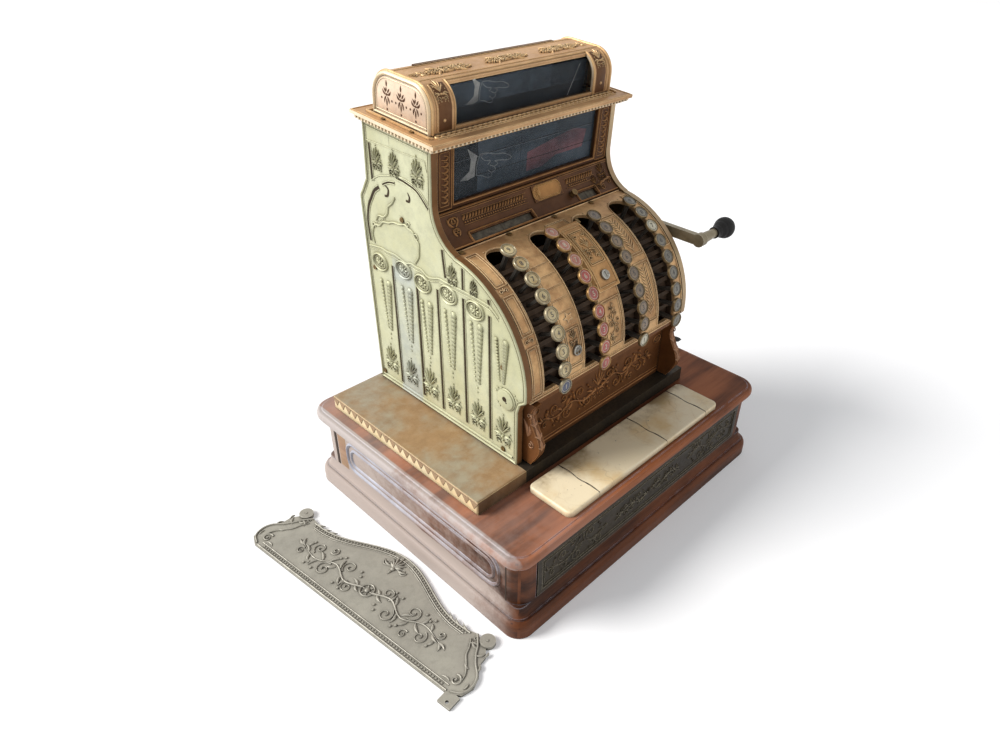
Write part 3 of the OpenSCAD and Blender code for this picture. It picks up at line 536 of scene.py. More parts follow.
# a spray of curling stems with leaves and berries, 100 long from its root
spray = [rib(curve([(0, 0), (22, 7), (45, -3), (70, 6), (96, 0)]), (1.6, 1.2, 0.5), (1.6, 1.2, 0.8)),
         scroll(30, -9, 9, 70, 1.3, -1), scroll(52, 10, 9.5, -100, 1.4), scroll(76, -7, 8, 80, 1.3, -1),
         scroll(14, 11, 7.5, -60, 1.3), scroll(92, 8, 5, -100, 1.2), scroll(60, -15, 5.5, 60, 1.2)]
for u, v, turn, long in ((20, 4, 50, 12), (38, -2, -48, 12), (44, 0, 60, 11), (62, 2, -60, 13), (66, 5, 45, 12),
                         (84, 3, -50, 11), (96, 0, 12, 10), (96, 0, -28, 9), (6, 2, -50, 11), (8, 3, 120, 9),
                         (30, 4, 95, 12), (54, -1, -95, 12), (80, 5, 95, 9), (90, -2, -80, 8)):
    spray.append(leaf(u, v, turn, long, 4.2, 1.5, 0.5 if v > 0 else -0.5))
spray += [button(u, v, 1.7, 1.5) for u, v in ((26, 12), (30, 16), (48, -12), (44, -16), (72, 13), (76, 17),
                                              (88, -10), (12, -8), (16, -13), (64, 17), (20, 17))]


DRAWER_FRONT = -183


def drawer_face(u, v, h):
    """The drawer's front plate: u across, v up, h forwards."""
    return u, DRAWER_FRONT - h, v


plate = [rib(loop(-205, 49, 205, 96, 2.5), 1.0, 1.5, closed=True),
         rib(loop(-201, 53, 201, 92, 2), 0.5, 1.0, closed=True)]
middle = moved(spray, 4, 72, 0, 0.62) + moved(spray, -4, 72, 180, 0.62)
ends = moved(spray, -88, 73, 180, 1.08) + moved(spray, 88, 73, 0, 1.08)
small_sprigs = [button(0, 72, 3.2, 2.2)]
for side in (-1, 1):
    small_sprigs += [rib(curve([(side * 70, 64), (side * 45, 76), (side * 20, 66), (side * 8, 72)]),
                         (0.6, 1.3, 0.6), 1.3)]
cast("drawer_plate_relief", laid(plate + ends + middle + small_sprigs, drawer_face), "drawer", black_bronze)

# ---------------------------------------------------------------------------
# Coin shelf
# Four slabs of pale marble, bedded on the top board in front of the cabinet, with
# yellowed patches, fine veins and small chips.
marble_group, marble_in, marble_out = effect(
    "old marble", [("Stone", tone(240, 224, 190)), ("Yellowed", tone(222, 192, 140)), ("Vein", tone(150, 122, 84)),
                   ("Soil and shade", tone(84, 66, 44))],
    [("Color", "NodeSocketColor"), ("Roughness", "NodeSocketFloat"), ("Height", "NodeSocketFloat")])
t = marble_group
place = put(t, "ShaderNodeTexCoord").outputs["Object"]
clouds = noise(t, place, 16.0, 6, 0.6)
shift = put(t, "ShaderNodeTexNoise", {"Vector": place, "Scale": 12.0, "Detail": 3}).outputs["Color"]
bent = put(t, "ShaderNodeVectorMath",
           {0: place,
            1: put(t, "ShaderNodeVectorMath", {0: shift, 1: (0.12, 0.12, 0.12)}, operation="MULTIPLY").outputs[0]},
           operation="ADD").outputs[0]
lines = put(t, "ShaderNodeTexVoronoi", {"Vector": bent, "Scale": 22.0},
            feature="DISTANCE_TO_EDGE").outputs["Distance"]
dots = noise(t, place, 240.0, 3, 0.6)
skin = blend_colours(t, ramp(t, clouds, 0.42, 0.68), marble_in["Stone"], marble_in["Yellowed"])
skin = blend_colours(t, math_of(t, "MULTIPLY", ramp(t, lines, 0.03, 0.0), ramp(t, clouds, 0.35, 0.65, 0.0, 0.28)),
                     skin, marble_in["Vein"])
skin = blend_colours(t, ramp(t, dots, 0.68, 0.76, 0.0, 0.8), skin, marble_in["Soil and shade"])
# recesses darkened: dirt and painted shade
skin = blend_colours(t, math_of(t, "MULTIPLY", sheltered(t, 0.006, 0.3, 0.97), 0.85), skin, marble_in["Soil and shade"])
depth = put(t, "ShaderNodeSeparateXYZ", {0: place}).outputs[1]
rubbed_dirt = math_of(t, "MULTIPLY", ramp(t, depth, -0.14, -0.11), ramp(t, clouds, 0.36, 0.62))
skin = blend_colours(t, math_of(t, "MULTIPLY", rubbed_dirt, 0.75), skin, marble_in["Soil and shade"])
t.links.new(skin, marble_out.inputs["Color"])
t.links.new(ramp(t, clouds, 0.3, 0.7, 0.32, 0.48), marble_out.inputs["Roughness"])
t.links.new(ramp(t, dots, 0.66, 0.76, 1.0, 0.0), marble_out.inputs["Height"])
dress(finish("marble", marble_group, {}, bump=0.3), "marble_shelf")


SHELF_TOP = 132


def shelf_top(u, v, h):
    """The top of the marble: u across, v back, h up."""
    return u, v, SHELF_TOP + h


joints = [rib(curve([(x, -178), (x + 1.2, -162), (x - 0.8, -146), (x + 1.6, -130), (x + 0.4, -111)], 4),
              (0.5, 0.9, 0.5, 1.0), 0.12, SQUARE) for x in (-102.6, 34.6, 125.1)]
cast("marble_joints", laid(joints, shelf_top), "base", seam_dark)

# ---------------------------------------------------------------------------
# Iron bed plate and brass ledge
# A black cast iron plate carries the cabinet. At the left a folded brass sheet covers
# the ledge; its edge strip has a stamped row of triangles.
iron = casting("bed iron", (50, 44, 36), (104, 96, 80), (70, 60, 44), (20, 17, 13), tarnish_share=0.5, rubbing=0.35,
               shine=0.5, metalness=0.3, patch_scale=30.0)
# the ledge's faces along X are pale, a painted light, and the wide dark near the panel foot is dirt and painted
# shade
ledge_brass = casting("ledge brass", (166, 134, 98), (224, 202, 152), (160, 150, 130), (54, 42, 30),
                      patch_scale=7.0, tarnish_share=0.95, rubbing=0.6, edge=0.0016, shine=0.42, metalness=0.2,
                      dirt_reach=0.012, dirt_low=0.2, dirt_high=0.85, stripe_from=-0.2, stripe_to=-0.0992,
                      stripe=tone(92, 64, 38), side=tone(252, 238, 198), side_tarnish=tone(238, 216, 170),
                      side_share=1.0)
edge_brass = casting("edge brass", (176, 150, 120), (222, 200, 164), (150, 124, 96), (84, 66, 44),
                     patch_scale=40.0, tarnish_share=0.6, shine=0.45, metalness=0.2, dirt_reach=0.003, dirt_low=0.5,
                     dirt_high=0.97)
dress(iron, "base_plate")
dress(ledge_brass, "ledge_cover")


def place_on(surface, u, v, turn=0.0, size=1.0, lift=0.0):
    """Where a motif stands on a surface, and how it is turned: its point, its angles and its size."""
    e = 0.5
    origin = Vector(surface(u, v, lift))
    out = (Vector(surface(u, v, lift + e)) - origin).normalized()
    upward = Vector(surface(u, v + e, lift)) - origin
    upward = (upward - out * upward.dot(out)).normalized()
    base = Matrix((upward.cross(out), upward, out)).transposed() @ Matrix.Rotation(math.radians(turn), 3, "Z")
    return origin * MM, base.to_euler(), size


def row_tree(name):
    """Geometry nodes: sets a motif on every point, turned and sized by the point's own marks."""
    tree = bpy.data.node_groups.new(name, "GeometryNodeTree")
    points = tree.interface.new_socket("Places", in_out="INPUT", socket_type="NodeSocketGeometry")
    motif = tree.interface.new_socket("Motif", in_out="INPUT", socket_type="NodeSocketObject")
    metal = tree.interface.new_socket("Finish", in_out="INPUT", socket_type="NodeSocketMaterial")
    tree.interface.new_socket("Row", in_out="OUTPUT", socket_type="NodeSocketGeometry")
    start, end = tree.nodes.new("NodeGroupInput").outputs, tree.nodes.new("NodeGroupOutput")
    shape = put(tree, "GeometryNodeObjectInfo", {"Object": start["Motif"]}, transform_space="ORIGINAL")
    angles = put(tree, "GeometryNodeInputNamedAttribute", {"Name": "turn"}, data_type="FLOAT_VECTOR").outputs[0]
    sizes = put(tree, "GeometryNodeInputNamedAttribute", {"Name": "size"}, data_type="FLOAT_VECTOR").outputs[0]
    rows = put(tree, "GeometryNodeInstanceOnPoints", {
        "Points": start["Places"], "Instance": shape.outputs["Geometry"],
        "Rotation": put(tree, "FunctionNodeEulerToRotation", {0: angles}).outputs[0], "Scale": sizes})
    whole = put(tree, "GeometryNodeRealizeInstances", {0: rows.outputs[0]})
    done = put(tree, "GeometryNodeSetMaterial", {"Geometry": whole.outputs[0], "Material": start["Finish"]})
    tree.links.new(done.outputs[0], end.inputs["Row"])
    return tree, motif.identifier, metal.identifier


motif_row = row_tree("motif row")


def motif(name, shapes):
    """A small shape in millimetres, kept off the object, for rows."""
    points, faces = [], []
    for s in shapes:
        faces += [tuple(len(points) + k for k in f) for f in s[1]]
        points += [tuple(float(q) * MM for q in p) for p in s[0]]
    mesh = bpy.data.meshes.new(name)
    mesh.from_pydata(points, [], faces)
    turn_outwards(mesh)
    return bpy.data.objects.new(name, mesh)


def set_row(name, shape, places, material, body):
    """Sets a motif at places and makes it one plain mesh that rides on a body."""
    mesh = bpy.data.meshes.new(name + ".places")
    mesh.from_pydata([tuple(p[0]) for p in places], [], [])
    for label, values in (("turn", [tuple(p[1]) for p in places]),
                          ("size", [tuple(p[2]) if hasattr(p[2], "__len__") else (p[2],) * 3 for p in places])):
        mesh.attributes.new(label, "FLOAT_VECTOR", "POINT").data.foreach_set(
            "vector", np.array(values, float).ravel())
    points = bpy.data.objects.new(name + ".places", mesh)
    bpy.context.scene.collection.objects.link(points)
    rows = points.modifiers.new("rows", "NODES")
    rows.node_group, motif_socket, finish_socket = motif_row
    rows[motif_socket] = shape
    rows[finish_socket] = material
    bpy.context.view_layer.update()
    made = bpy.data.meshes.new_from_object(points.evaluated_get(bpy.context.evaluated_depsgraph_get()))
    points.modifiers.remove(rows)
    bpy.data.objects.remove(points)
    made.name = name
    made.polygons.foreach_set("use_smooth", [True] * len(made.polygons))
    made.set_sharp_from_angle(angle=math.radians(40))
    thing = bpy.data.objects.new(name, made)
    bpy.context.scene.collection.objects.link(thing)
    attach(thing, body)
    return thing


LEDGE_SIDE = -227


def ledge_side(u, v, h):
    """The left edge of the ledge: u back, v up, h outwards."""
    return LEDGE_SIDE - h, u, v


triangle = motif("stamped triangle", [boss([(-6.6, 10.4), (6.6, 10.4), (0.6, 0)], 0.8, 0.4)])
set_row("ledge_triangles", triangle, [place_on(ledge_side, u, 130) for u in np.arange(-92.6, 188, 13.95)],
        edge_brass, "base")
cast("ledge_strip", laid([rib([(-99.5, 141.4), (191.5, 141.4)], 1.4, 0.8)], ledge_side), "base", edge_brass)

# ---------------------------------------------------------------------------
# Side panels
# Two cast brass plates carry everything. Each has a raised rim along its edge, six
# fields with husk drops and palmettes, and a round field with a cartouche above.
pale = dict(patch_scale=9.0, tarnish_share=0.7, dirt_and_shade_share=0.95, rubbing=0.6, edge=0.0008, shine=0.45, metalness=0.2,
            stripe_from=0.093, stripe_to=0.137, stripe=tone(178, 184, 180))
panel_brass = casting("pale relief brass", (200, 200, 166), (238, 236, 214), (176, 174, 138), (80, 70, 46),
                      dirt_reach=0.003, dirt_low=0.35, dirt_high=0.88, **pale)
# pale on its faces along X and brown on its front edges: painted light and shade by facing
left_plate = casting("left panel brass", (134, 94, 56), (206, 190, 150), (98, 68, 42), (66, 54, 32),
                     dirt_reach=0.005, dirt_low=0.55, dirt_high=0.98, side=tone(202, 202, 170),
                     side_tarnish=tone(182, 180, 142), side_share=1.0, **pale)
# the right panel's side face and reliefs are darker than the left's: painted shade
right_plate = casting("right panel brass in painted shade", (190, 166, 130), (214, 190, 146), (150, 118, 88), patch_scale=12.0,
                      side=tone(172, 140, 94), side_tarnish=tone(132, 104, 68), side_share=1.0, dirt_low=0.6,
                      dirt_high=0.98)
shaded_relief_brass = casting("right relief brass in painted shade", (176, 144, 96), (218, 188, 132), (132, 104, 66), patch_scale=12.0,
                      dirt_low=0.5, dirt_high=0.97)
# dark strips for cuts, slits and key holes: painted shade, with some dirt
groove_dark = casting("groove shade and grime", (58, 46, 30), (96, 78, 50), (36, 28, 18), shine=0.6, metalness=0.1)
dress(left_plate, "left_panel")
dress(right_plate, "right_panel")


def edge_line(node, side, shrink):
    """The outline of a node's flat face at its lowest (-1) or highest (1) X, moved in by some millimetres."""
    mesh = nodes[node].data
    co = np.array([v.co for v in mesh.vertices]) * 1000
    mesh.calc_loop_triangles()
    limit = co[:, 0].min() if side < 0 else co[:, 0].max()
    links = {}
    for tri in mesh.loop_triangles:
        corners = [tuple(np.round(co[i], 2)) for i in tri.vertices]
        if all(abs(p[0] - limit) < 0.02 for p in corners):
            for a, b in zip(corners, corners[1:] + corners[:1]):
                if links.get(b, {}).pop(a, None) is None:
                    links.setdefault(a, {})[b] = True
    start = next(a for a in links if links[a])
    path, here = [start], start
    while True:
        here = next(iter(links[here]))
        if here == start or len(path) > 500:
            break
        path.append(here)
    p = np.array([q[1:] for q in path])
    fine = []
    for a, b in zip(p, np.roll(p, -1, 0)):
        n = max(1, int(np.linalg.norm(b - a) / 6))
        fine += [a + (b - a) * k / n for k in range(n)]
    p = np.array(fine)
    along = np.roll(p, -1, 0) - np.roll(p, 1, 0)
    along /= np.linalg.norm(along, axis=1, keepdims=True)
    area = np.sum(p[:, 0] * np.roll(p[:, 1], -1) - p[:, 1] * np.roll(p[:, 0], -1))
    return p + np.stack([-along[:, 1], along[:, 0]], 1) * shrink * (1 if area > 0 else -1)


PANEL_LEFT, PANEL_RIGHT = -148, 163


def cabinet_left(u, v, h):
    """The outer face of the left panel: u back, v up, h outwards."""
    return PANEL_LEFT - h, u, v


def cabinet_right(u, v, h):
    """The outer face of the right panel: u back, v up, h outwards."""
    return PANEL_RIGHT + h, u, v


# motifs of the fields, each about its own foot or middle
palmette = [leaf(0, 0, a, r, 3.6, 1.7) for a, r in ((90, 30), (72, 27), (108, 27), (52, 23), (128, 23))]
palmette += [leaf(s * 3, -7, 90 - s * a, r, 3.4, 1.6, s * b) for s in (-1, 1)
             for a, r, b in ((38, 17, -0.9), (70, 15, -0.9), (100, 13, 0.8))]
palmette += [scroll(s * 8, -16, 5.5, 90 - s * 120, 1.2, s, (0.9, 0.7, 0.6)) for s in (-1, 1)]
palmette += [button(0, -6, 2.6, 2.0), button(0, -14, 2.0, 1.6), button(0, 34, 1.2, 1.2)]
palmette += [button(s * u, v, 1.2, 1.3) for s in (-1, 1)
             for u, v in ((12, 12), (15, 4), (14, -6), (5, -21), (13, -22))]
husk = [leaf(0, 0, -90, 8, 3.0, 1.5), leaf(0, 0.5, -128, 8.5, 3.2, 1.5, 0.6), leaf(0, 0.5, -52, 8.5, 3.2, 1.5, -0.6)]
rosette = [rib(circle(0, 0, 14.5, 28, 10.8), 1.5, 1.6, closed=True),
           rib(circle(0, 0, 11.3, 24, 8.0), 0.6, 0.8, closed=True)]
rosette += [leaf(2.4 * math.cos(a), 2.0 * math.sin(a), math.degrees(a), 5.5, 3.4, 1.3)
            for a in np.arange(0, 2 * math.pi, math.pi / 4)] + [button(0, 0, 2.6, 1.9)]
palmette_form, husk_form, rosette_form = (motif("palmette", palmette), motif("husk", husk),
                                          motif("rosette", rosette))
bead_form = motif("bead", [button(0, 0, 1.0, 1.0)])


def groove(path, wide):
    """A cut between two thin lips, drawn as a dark strip: painted shade with dirt."""
    cut = rib(path, wide, 0.15, SQUARE)
    lips = []
    p = np.asarray(path, float)
    along = np.gradient(p, axis=0)
    along /= np.linalg.norm(along, axis=1, keepdims=True)
    across = np.stack([-along[:, 1], along[:, 0]], 1)
    for s in (-1, 1):
        lips.append(rib(p + across * s * (wide + 0.6), 0.7, 0.8))
    return [(cut[0], cut[1], 1)] + lips


panel_lines = []
for path, wide in (([(139, 331), (139, 155)], 1.9), ([(91, 336), (91, 157)], 2.4), ([(52, 331), (52, 155)], 1.9),
                   ([(6, 337), (6, 158)], 1.9), ([(-37.5, 332), (-37.5, 157)], 1.9),
                   ([(163.5, 479), (163.5, 434)], 2.0), ([(6, 375), (6, 348)], 1.7),
                   ([(-36, 352), (-38, 343)], 2.0)):
    panel_lines += groove(np.linspace(path[0], path[1], 8), wide)
for points, wide in (([(152, 429), (162, 422), (169, 412), (176, 401), (180, 389), (182, 376), (180, 352)], 2.0),
                     ([(116, 449.5), (105, 449), (93, 447), (84, 445), (76, 441), (61, 428)], 1.3),
                     ([(145, 434), (132, 440), (120, 442)], 0.9), ([(40, 386), (38, 368), (36, 352)], 1.8)):
    panel_lines += groove(curve(points, 5), wide)
# the wavy border between the tall fields and the round one, and the slanted fields' edge
divide = curve([(184, 345), (172, 347), (158, 349), (146, 348), (132, 349), (120, 347), (110, 345), (100, 348),
                (90, 347), (80, 347), (70, 342), (60, 343), (48, 347), (36, 347), (20, 347), (-4, 347), (-26, 346),
                (-40, 344), (-52, 336)], 4)
panel_lines += [rib(divide, 1.3, 1.3), rib(divide - np.array([0, 4.5]), 0.6, 0.8)]
# the two comma slits are dark shapes: painted shade of their openings
for slit in ([(141, 435), (134, 431), (136, 423), (142, 421)], [(97, 437), (94, 432), (95.5, 427), (101, 426.5)]):
    cut = rib(curve(slit, 5), (0.8, 2.2, 1.4), 0.2, SQUARE)
    panel_lines += [(cut[0], cut[1], 1)]
panel_lines += [rib(curve([(139, 388), (128, 392), (116, 393), (106, 396), (99, 393), (92, 391), (88, 385),
                           (82, 380), (82.5, 372), (84, 362), (92, 351)], 4), 1.4, 1.7),
                rib(curve([(172, 352), (175, 362), (172, 372), (166, 378), (158, 379), (150, 386), (139, 388)], 4),
                    1.4, 1.7),
                rib(curve([(122, 424), (128, 416), (137, 409), (140, 400), (148, 393), (158, 392), (164, 384)], 4),
                    (0.8, 2.0, 0.8), 1.6),
                rib(curve([(166, 434), (150, 443), (132, 448), (116, 452), (92, 451), (74, 445), (58, 431)], 4),
                    0.8, 0.8)]
panel_lines += [scroll(170, 376, 4.5, 200, 1.1, -1), scroll(86, 386, 4.5, 20, 1.1),
                scroll(100, 397, 4, 150, 1.0, -1)]
panel_lines += [rib([(169, 481.5), (62, 481.5), (60, 470)], 0.6, 0.6),
                rib([(125, 502), (125, 484)], 0.5, 0.2, SQUARE)]
panel_lines += [rib([(182, 150.5), (-76, 150.5)], 1.6, 1.6), rib([(186, 145), (-81, 145)], 2.2, 1.0, SQUARE)]
panel_lines += [rib(edge_line("left_panel", -1, d), w, h, closed=True)
                for d, w, h in ((1.9, 1.7, 1.9), (5.6, 0.6, 0.7))]


def fields(surface):
    """Where the ornaments of one panel stand: palmettes, husks, rosettes and beads."""
    fans = [place_on(surface, u, v, 0, (s, s, 1.75))
            for u, v, s in ((160, 181, 0.78), (116, 180, 0.72), (76, 183, 0.86), (30, 181, 0.74),
                            (-15.5, 180, 0.76), (-60, 180, 0.8), (151, 461, 0.52), (119, 462, 0.56),
                            (77, 463, 0.62), (24, 358, 0.5), (-12, 356, 0.36))]
    drops, beads = [], []
    for u, top, low in ((157, 302, 234), (113, 308, 234), (74.5, 304, 234), (31, 308, 232), (-15, 311, 233),
                        (-57, 308, 254)):
        n = 14
        for k in range(n):
            s = k / (n - 1)
            v = top + (low - top) * s
            beads.append(place_on(surface, u + 8.6 * (1 - 0.6 * s), v, 0,
                                  (2.8 - 1.3 * s, 2.3 - 1.0 * s, 2.6 - 1.1 * s)))
            drops.append(place_on(surface, u - 5.4 * (1 - 0.6 * s), v + 3, 20,
                                  (1.6 - 0.8 * s, 1.2 - 0.4 * s, 2.0 - 0.8 * s)))
        beads += [place_on(surface, u, low - 9 - 7 * k, 0, 1.6 - 0.3 * k) for k in range(2)]
    ovals = [place_on(surface, u, v, 0, (1, 1, 1.5))
             for u, v in ((164.3, 328), (116, 334), (79.5, 329), (32, 332), (-13.8, 330))]
    beads += [place_on(surface, *q, 0, 0.8) for q in curve([(170, 372), (160, 384), (146, 391)], 4)]
    return fans, drops, ovals, beads


for hand, surface, metal in (("left", cabinet_left, panel_brass), ("right", cabinet_right, shaded_relief_brass)):
    cast("panel_lines_" + hand, laid(panel_lines, surface), "base", metal, groove_dark)
    fans, drops, ovals, beads = fields(surface)
    set_row("panel_palmettes_" + hand, palmette_form, fans, metal, "base")
    set_row("panel_husks_" + hand, husk_form, drops, metal, "base")
    set_row("panel_rosettes_" + hand, rosette_form, ovals, metal, "base")
    set_row("panel_beads_" + hand, bead_form, beads, metal, "base")

# ---------------------------------------------------------------------------
# Back cover
# Bent brass sheet between the panels, left plain apart from the marks of handling.
sheet_brass = casting("back sheet brass", (140, 106, 62), (190, 152, 96), (98, 74, 46), patch_scale=7.0,
                      tarnish_share=0.8, rubbing=0.5, shine=0.34)
dress(sheet_brass, "back_cover")

# ---------------------------------------------------------------------------
# Window frame, apron and nameplate
# Brown cast brass front: two posts beside the lower window, the hollow apron with its
# bands and two counter openings, and a bare plate pinned in the middle.
frame_brass = casting("brown frame brass", (94, 60, 34), (182, 130, 78), (64, 39, 22), patch_scale=20.0,
                      tarnish_share=0.6, rubbing=0.75, dirt_reach=0.0026, dirt_low=0.45, dirt_high=0.96, shine=0.4)
# the raised reliefs take a lighter copy of the frame brass: rubbing and painted highlight
frame_relief = casting("rubbed and highlit frame relief", (158, 112, 68), (218, 170, 112), (116, 78, 46), patch_scale=40.0,
                       tarnish_share=0.6, rubbing=0.9, edge=0.0008, dirt_reach=0.003, dirt_low=0.5, dirt_high=0.98,
                       shine=0.38)
dress(frame_brass, "window_frame")
LEAN = math.radians(4)
HEAD_FRONT, HEAD_FOOT = 51, 495.3
# the two posts reach from one of these to the other, and so do the apron and the drum
FRONT_LEFT, FRONT_RIGHT = -139, 154
APRON_Y, APRON_Z, APRON_R, APRON_LOW = 3.3, 433, 52.7, -62


def head(u, v, w):
    """The head leans 4 degrees forward about the front of the panels: u across, v back, w up."""
    return (u, HEAD_FRONT + v * math.cos(LEAN) - w * math.sin(LEAN),
            HEAD_FOOT + v * math.sin(LEAN) + w * math.cos(LEAN))


def window_face(u, v, h):
    """The front of the posts beside the lower window."""
    return head(u, 0.8 - h, v)


def apron(u, v, h):
    """The hollow face of the apron: v is the length up its curve."""
    a = math.radians(APRON_LOW) + v / APRON_R
    return u, APRON_Y + (APRON_R - h) * math.cos(a), APRON_Z + (APRON_R - h) * math.sin(a)


def apron_at(degrees):
    """The length up the apron's curve at an angle."""
    return math.radians(degrees - APRON_LOW) * APRON_R


front_lines = [rib(loop(-116, -69.6, 131, -2.6, 1, 2), 1.2, 1.4, closed=True),
               rib(loop(FRONT_LEFT, -72.6, -118.2, -1.2, 1, 2), 0.8, 1.2, closed=True),
               rib(loop(133, -72.6, FRONT_RIGHT, -1.2, 1, 2), 0.8, 1.2, closed=True)]
for u in (-128.6, 143.5):
    front_lines.append(rib(loop(u - 6.6, -68, u + 6.6, -6, 1.5, 2), 0.6, 0.8, closed=True))
    for k in range(8):
        front_lines.append(rib(curve([(u - 4.4, -62.5 + 7 * k), (u + 1.5, -64 + 7 * k), (u + 4.4, -60.5 + 7 * k),
                                      (u - 1, -58.4 + 7 * k)], 4), (0.4, 1.5, 0.5), (0.6, 1.9, 0.8)))
apron_lines = [rib([(FRONT_LEFT, apron_at(a)), (FRONT_RIGHT, apron_at(a))], w, h) for a, w, h in
               ((-14.4, 1.3, 1.8), (-17, 0.8, 0.8), (-61, 1.0, 1.0))]
apron_lines += [rib([(u0, apron_at(a)), (u1, apron_at(a))], 0.6, 0.8) for a in (-22.5, -29.6, -35.4)
                for u0, u1 in ((-108, -3), (68, 124))]
for u0, u1, a0, a1 in ((-106, -6, -60.5, -48), (81, 116, -60.5, -47)):
    apron_lines.append(rib(loop(u0 - 2.4, apron_at(a0) - 0.6, u1 + 2.4, apron_at(a1) + 2.4, 1.5, 2), 1.3, 1.6,
                           closed=True))
for u, s in ((-124, -1), (-121, 1)):
    apron_lines += [scroll(u, apron_at(-27), 5.2, 90 - s * 90, 1.3, s, (1.5, 1.1, 1.2), 1.7),
                    scroll(u, apron_at(-40), 4.4, 90 + s * 90, 1.3, -s, (1.3, 1.0, 1.0), 1.6),
                    leaf(u, apron_at(-34), 90 - s * 62, 13, 4.2, 1.9, s * 0.6),
                    leaf(u, apron_at(-46), 90 - s * 50, 10, 3.6, 1.7, s * 0.6)]
apron_lines += (moved(palmette, 121, apron_at(-43), 0, 0.42, 1, 1.2)
                + moved(palmette, 139, apron_at(-30), 0, 0.5, 1, 1.3))
apron_lines += [leaf(128 + 7 * k, apron_at(-48 + 3 * k), 60 - 12 * k, 13, 4.2, 1.8, -0.7) for k in range(3)]
apron_lines += [scroll(132, apron_at(-52), 4.6, 40, 1.3), scroll(147, apron_at(-46), 4.6, 160, 1.3, -1)]
cast("window_frame_mouldings", laid(front_lines, window_face) + laid(apron_lines, apron), "base",
     frame_relief, frame_brass)
gadroon = motif("gadroon", [leaf(0, -3.6, 90, 7.4, 4.0, 2.2)])
set_row("apron_gadroons", gadroon,
        [place_on(apron, u, apron_at(-26), -30, 1.0)
         for u in [*np.arange(-106, -7, 4.8), *np.arange(72, 123, 4.8)]],
        frame_relief, "base")
bands = [place_on(apron, u, apron_at(-32.5), 0, (1.5, 1.4, 1.5))
         for u in [*np.arange(-106, -9, 3.7), *np.arange(74, 111, 3.7)]]
set_row("apron_beads", bead_form, bands, frame_relief, "base")

plate_brass = casting("nameplate brass", (176, 128, 74), (236, 190, 122), (132, 90, 50), rubbing=0.8,
                      patch_scale=30.0)


def nameplate_face(u, v, h):
    """The front of the nameplate, which stands above the apron."""
    return apron(u, v, h + 1.5)


low, high = apron_at(-38.6), apron_at(-18.4)
mid = (low + high) / 2
name_edge = [boss(loop(7.9, low - 0.6, 58.1, high + 0.6, 8.6, 6), 0.3),
             rib(loop(9.2, low + 0.6, 56.8, high - 0.6, 7.6, 6), 1.1, 1.3, closed=True)]
name_edge += [button(55.6, mid, 1.2, 1.4)] + [leaf(19, mid, 180 + 24 * k, 9, 3, 1.4)
                                              for k in (-3, -2, -1, 0, 1, 2, 3)]
cast("nameplate_rim", laid(name_edge, nameplate_face), "base", plate_brass)

# printed card strips behind the two counter openings
card = bpy.data.materials.new("counter card")
card.use_nodes = True
t = card.node_tree
spots = noise(t, put(t, "ShaderNodeTexCoord").outputs["Object"], 130.0, 5, 0.7)
t.links.new(blend_colours(t, ramp(t, spots, 0.35, 0.65), tone(70, 62, 50), tone(112, 104, 88)),
            t.nodes["Principled BSDF"].inputs["Base Color"])
t.nodes["Principled BSDF"].inputs["Roughness"].default_value = 0.7


def behind_apron(u, v, h):
    """The cards behind the openings of the apron."""
    return apron(u, v, h - 4.6)


cards = [boss([(u0, apron_at(a0)), (u1, apron_at(a0)), (u1, apron_at(a1) + 1), (u0, apron_at(a1) + 1)], 0.1, 0.3)
         for u0, u1, a0, a1 in ((-107, -56, -60.5, -48), (-55.4, -5, -60.5, -48), (80, 98, -60.5, -47),
                                (98.6, 117, -60.5, -47))]
cast("counter_cards", laid(cards, behind_apron), "base", card)

# ---------------------------------------------------------------------------
# Keyboard drum
# Curved brass casting with four slots for the keys. Its strips carry raised borders,
# cells for labels, leaf reliefs and the plates round two small locks.
drum_brass = casting("drum brass", (224, 182, 130), (252, 228, 184), (166, 124, 84), patch_scale=24.0,
                     tarnish_share=0.85, rubbing=0.85, edge=0.0016, dirt_reach=0.0028, dirt_low=0.45, dirt_high=0.96,
                     shine=0.4, metalness=0.35)
dress(drum_brass, "key_drum")
DRUM_Y, DRUM_Z, DRUM_R = 36.8, 250.3, 133.5
SLOTS, SLOT_HALF, SLOT_HEAD = (-100, -28.5, 48.5, 120), 19.4, 70.6


def drum(u, v, h):
    """The outside of the drum: v is the length round it from its foremost line, h outwards."""
    a = v / DRUM_R
    return u, DRUM_Y - (DRUM_R + h) * math.cos(a), DRUM_Z + (DRUM_R + h) * math.sin(a)


def at(degrees):
    """The length round the drum at an angle."""
    return math.radians(degrees) * DRUM_R


def panel_on(u0, u1, a0, a1, gap=3.0, double=True):
    """A long sunk panel with a double raised border."""
    parts = []
    for inset, wide, high in ((0, 0.9, 1.2), (gap, 0.6, 0.8))[:2 if double else 1]:
        box = loop(u0 + inset, at(a0) + inset, u1 - inset, at(a1) - inset, 1.5, 2)
        fine = []
        for p, q in zip(box, box[1:] + box[:1]):
            n = max(1, int(abs(q[1] - p[1]) / 5))
            fine += [(p[0] + (q[0] - p[0]) * k / n, p[1] + (q[1] - p[1]) * k / n) for k in range(n)]
        parts.append(rib(fine, wide, high, closed=True))
    return parts


def band_across(u0, u1, degrees, wide, high):
    """A straight moulding across the drum."""
    return rib([(u0, at(degrees)), (u1, at(degrees))], wide, high)


# left border strip
drum_lines = panel_on(-138, -121, -3, 24) + panel_on(-138, -121, 30, 51) + panel_on(-138, -121, 56.5, 80)
for a in (27, 53.8):
    drum_lines += [scroll(-134, at(a), 3.2, 0, 1.2), scroll(-126, at(a), 3.2, 180, 1.2, -1),
                   leaf(-130, at(a), 90, 5, 2.6)]
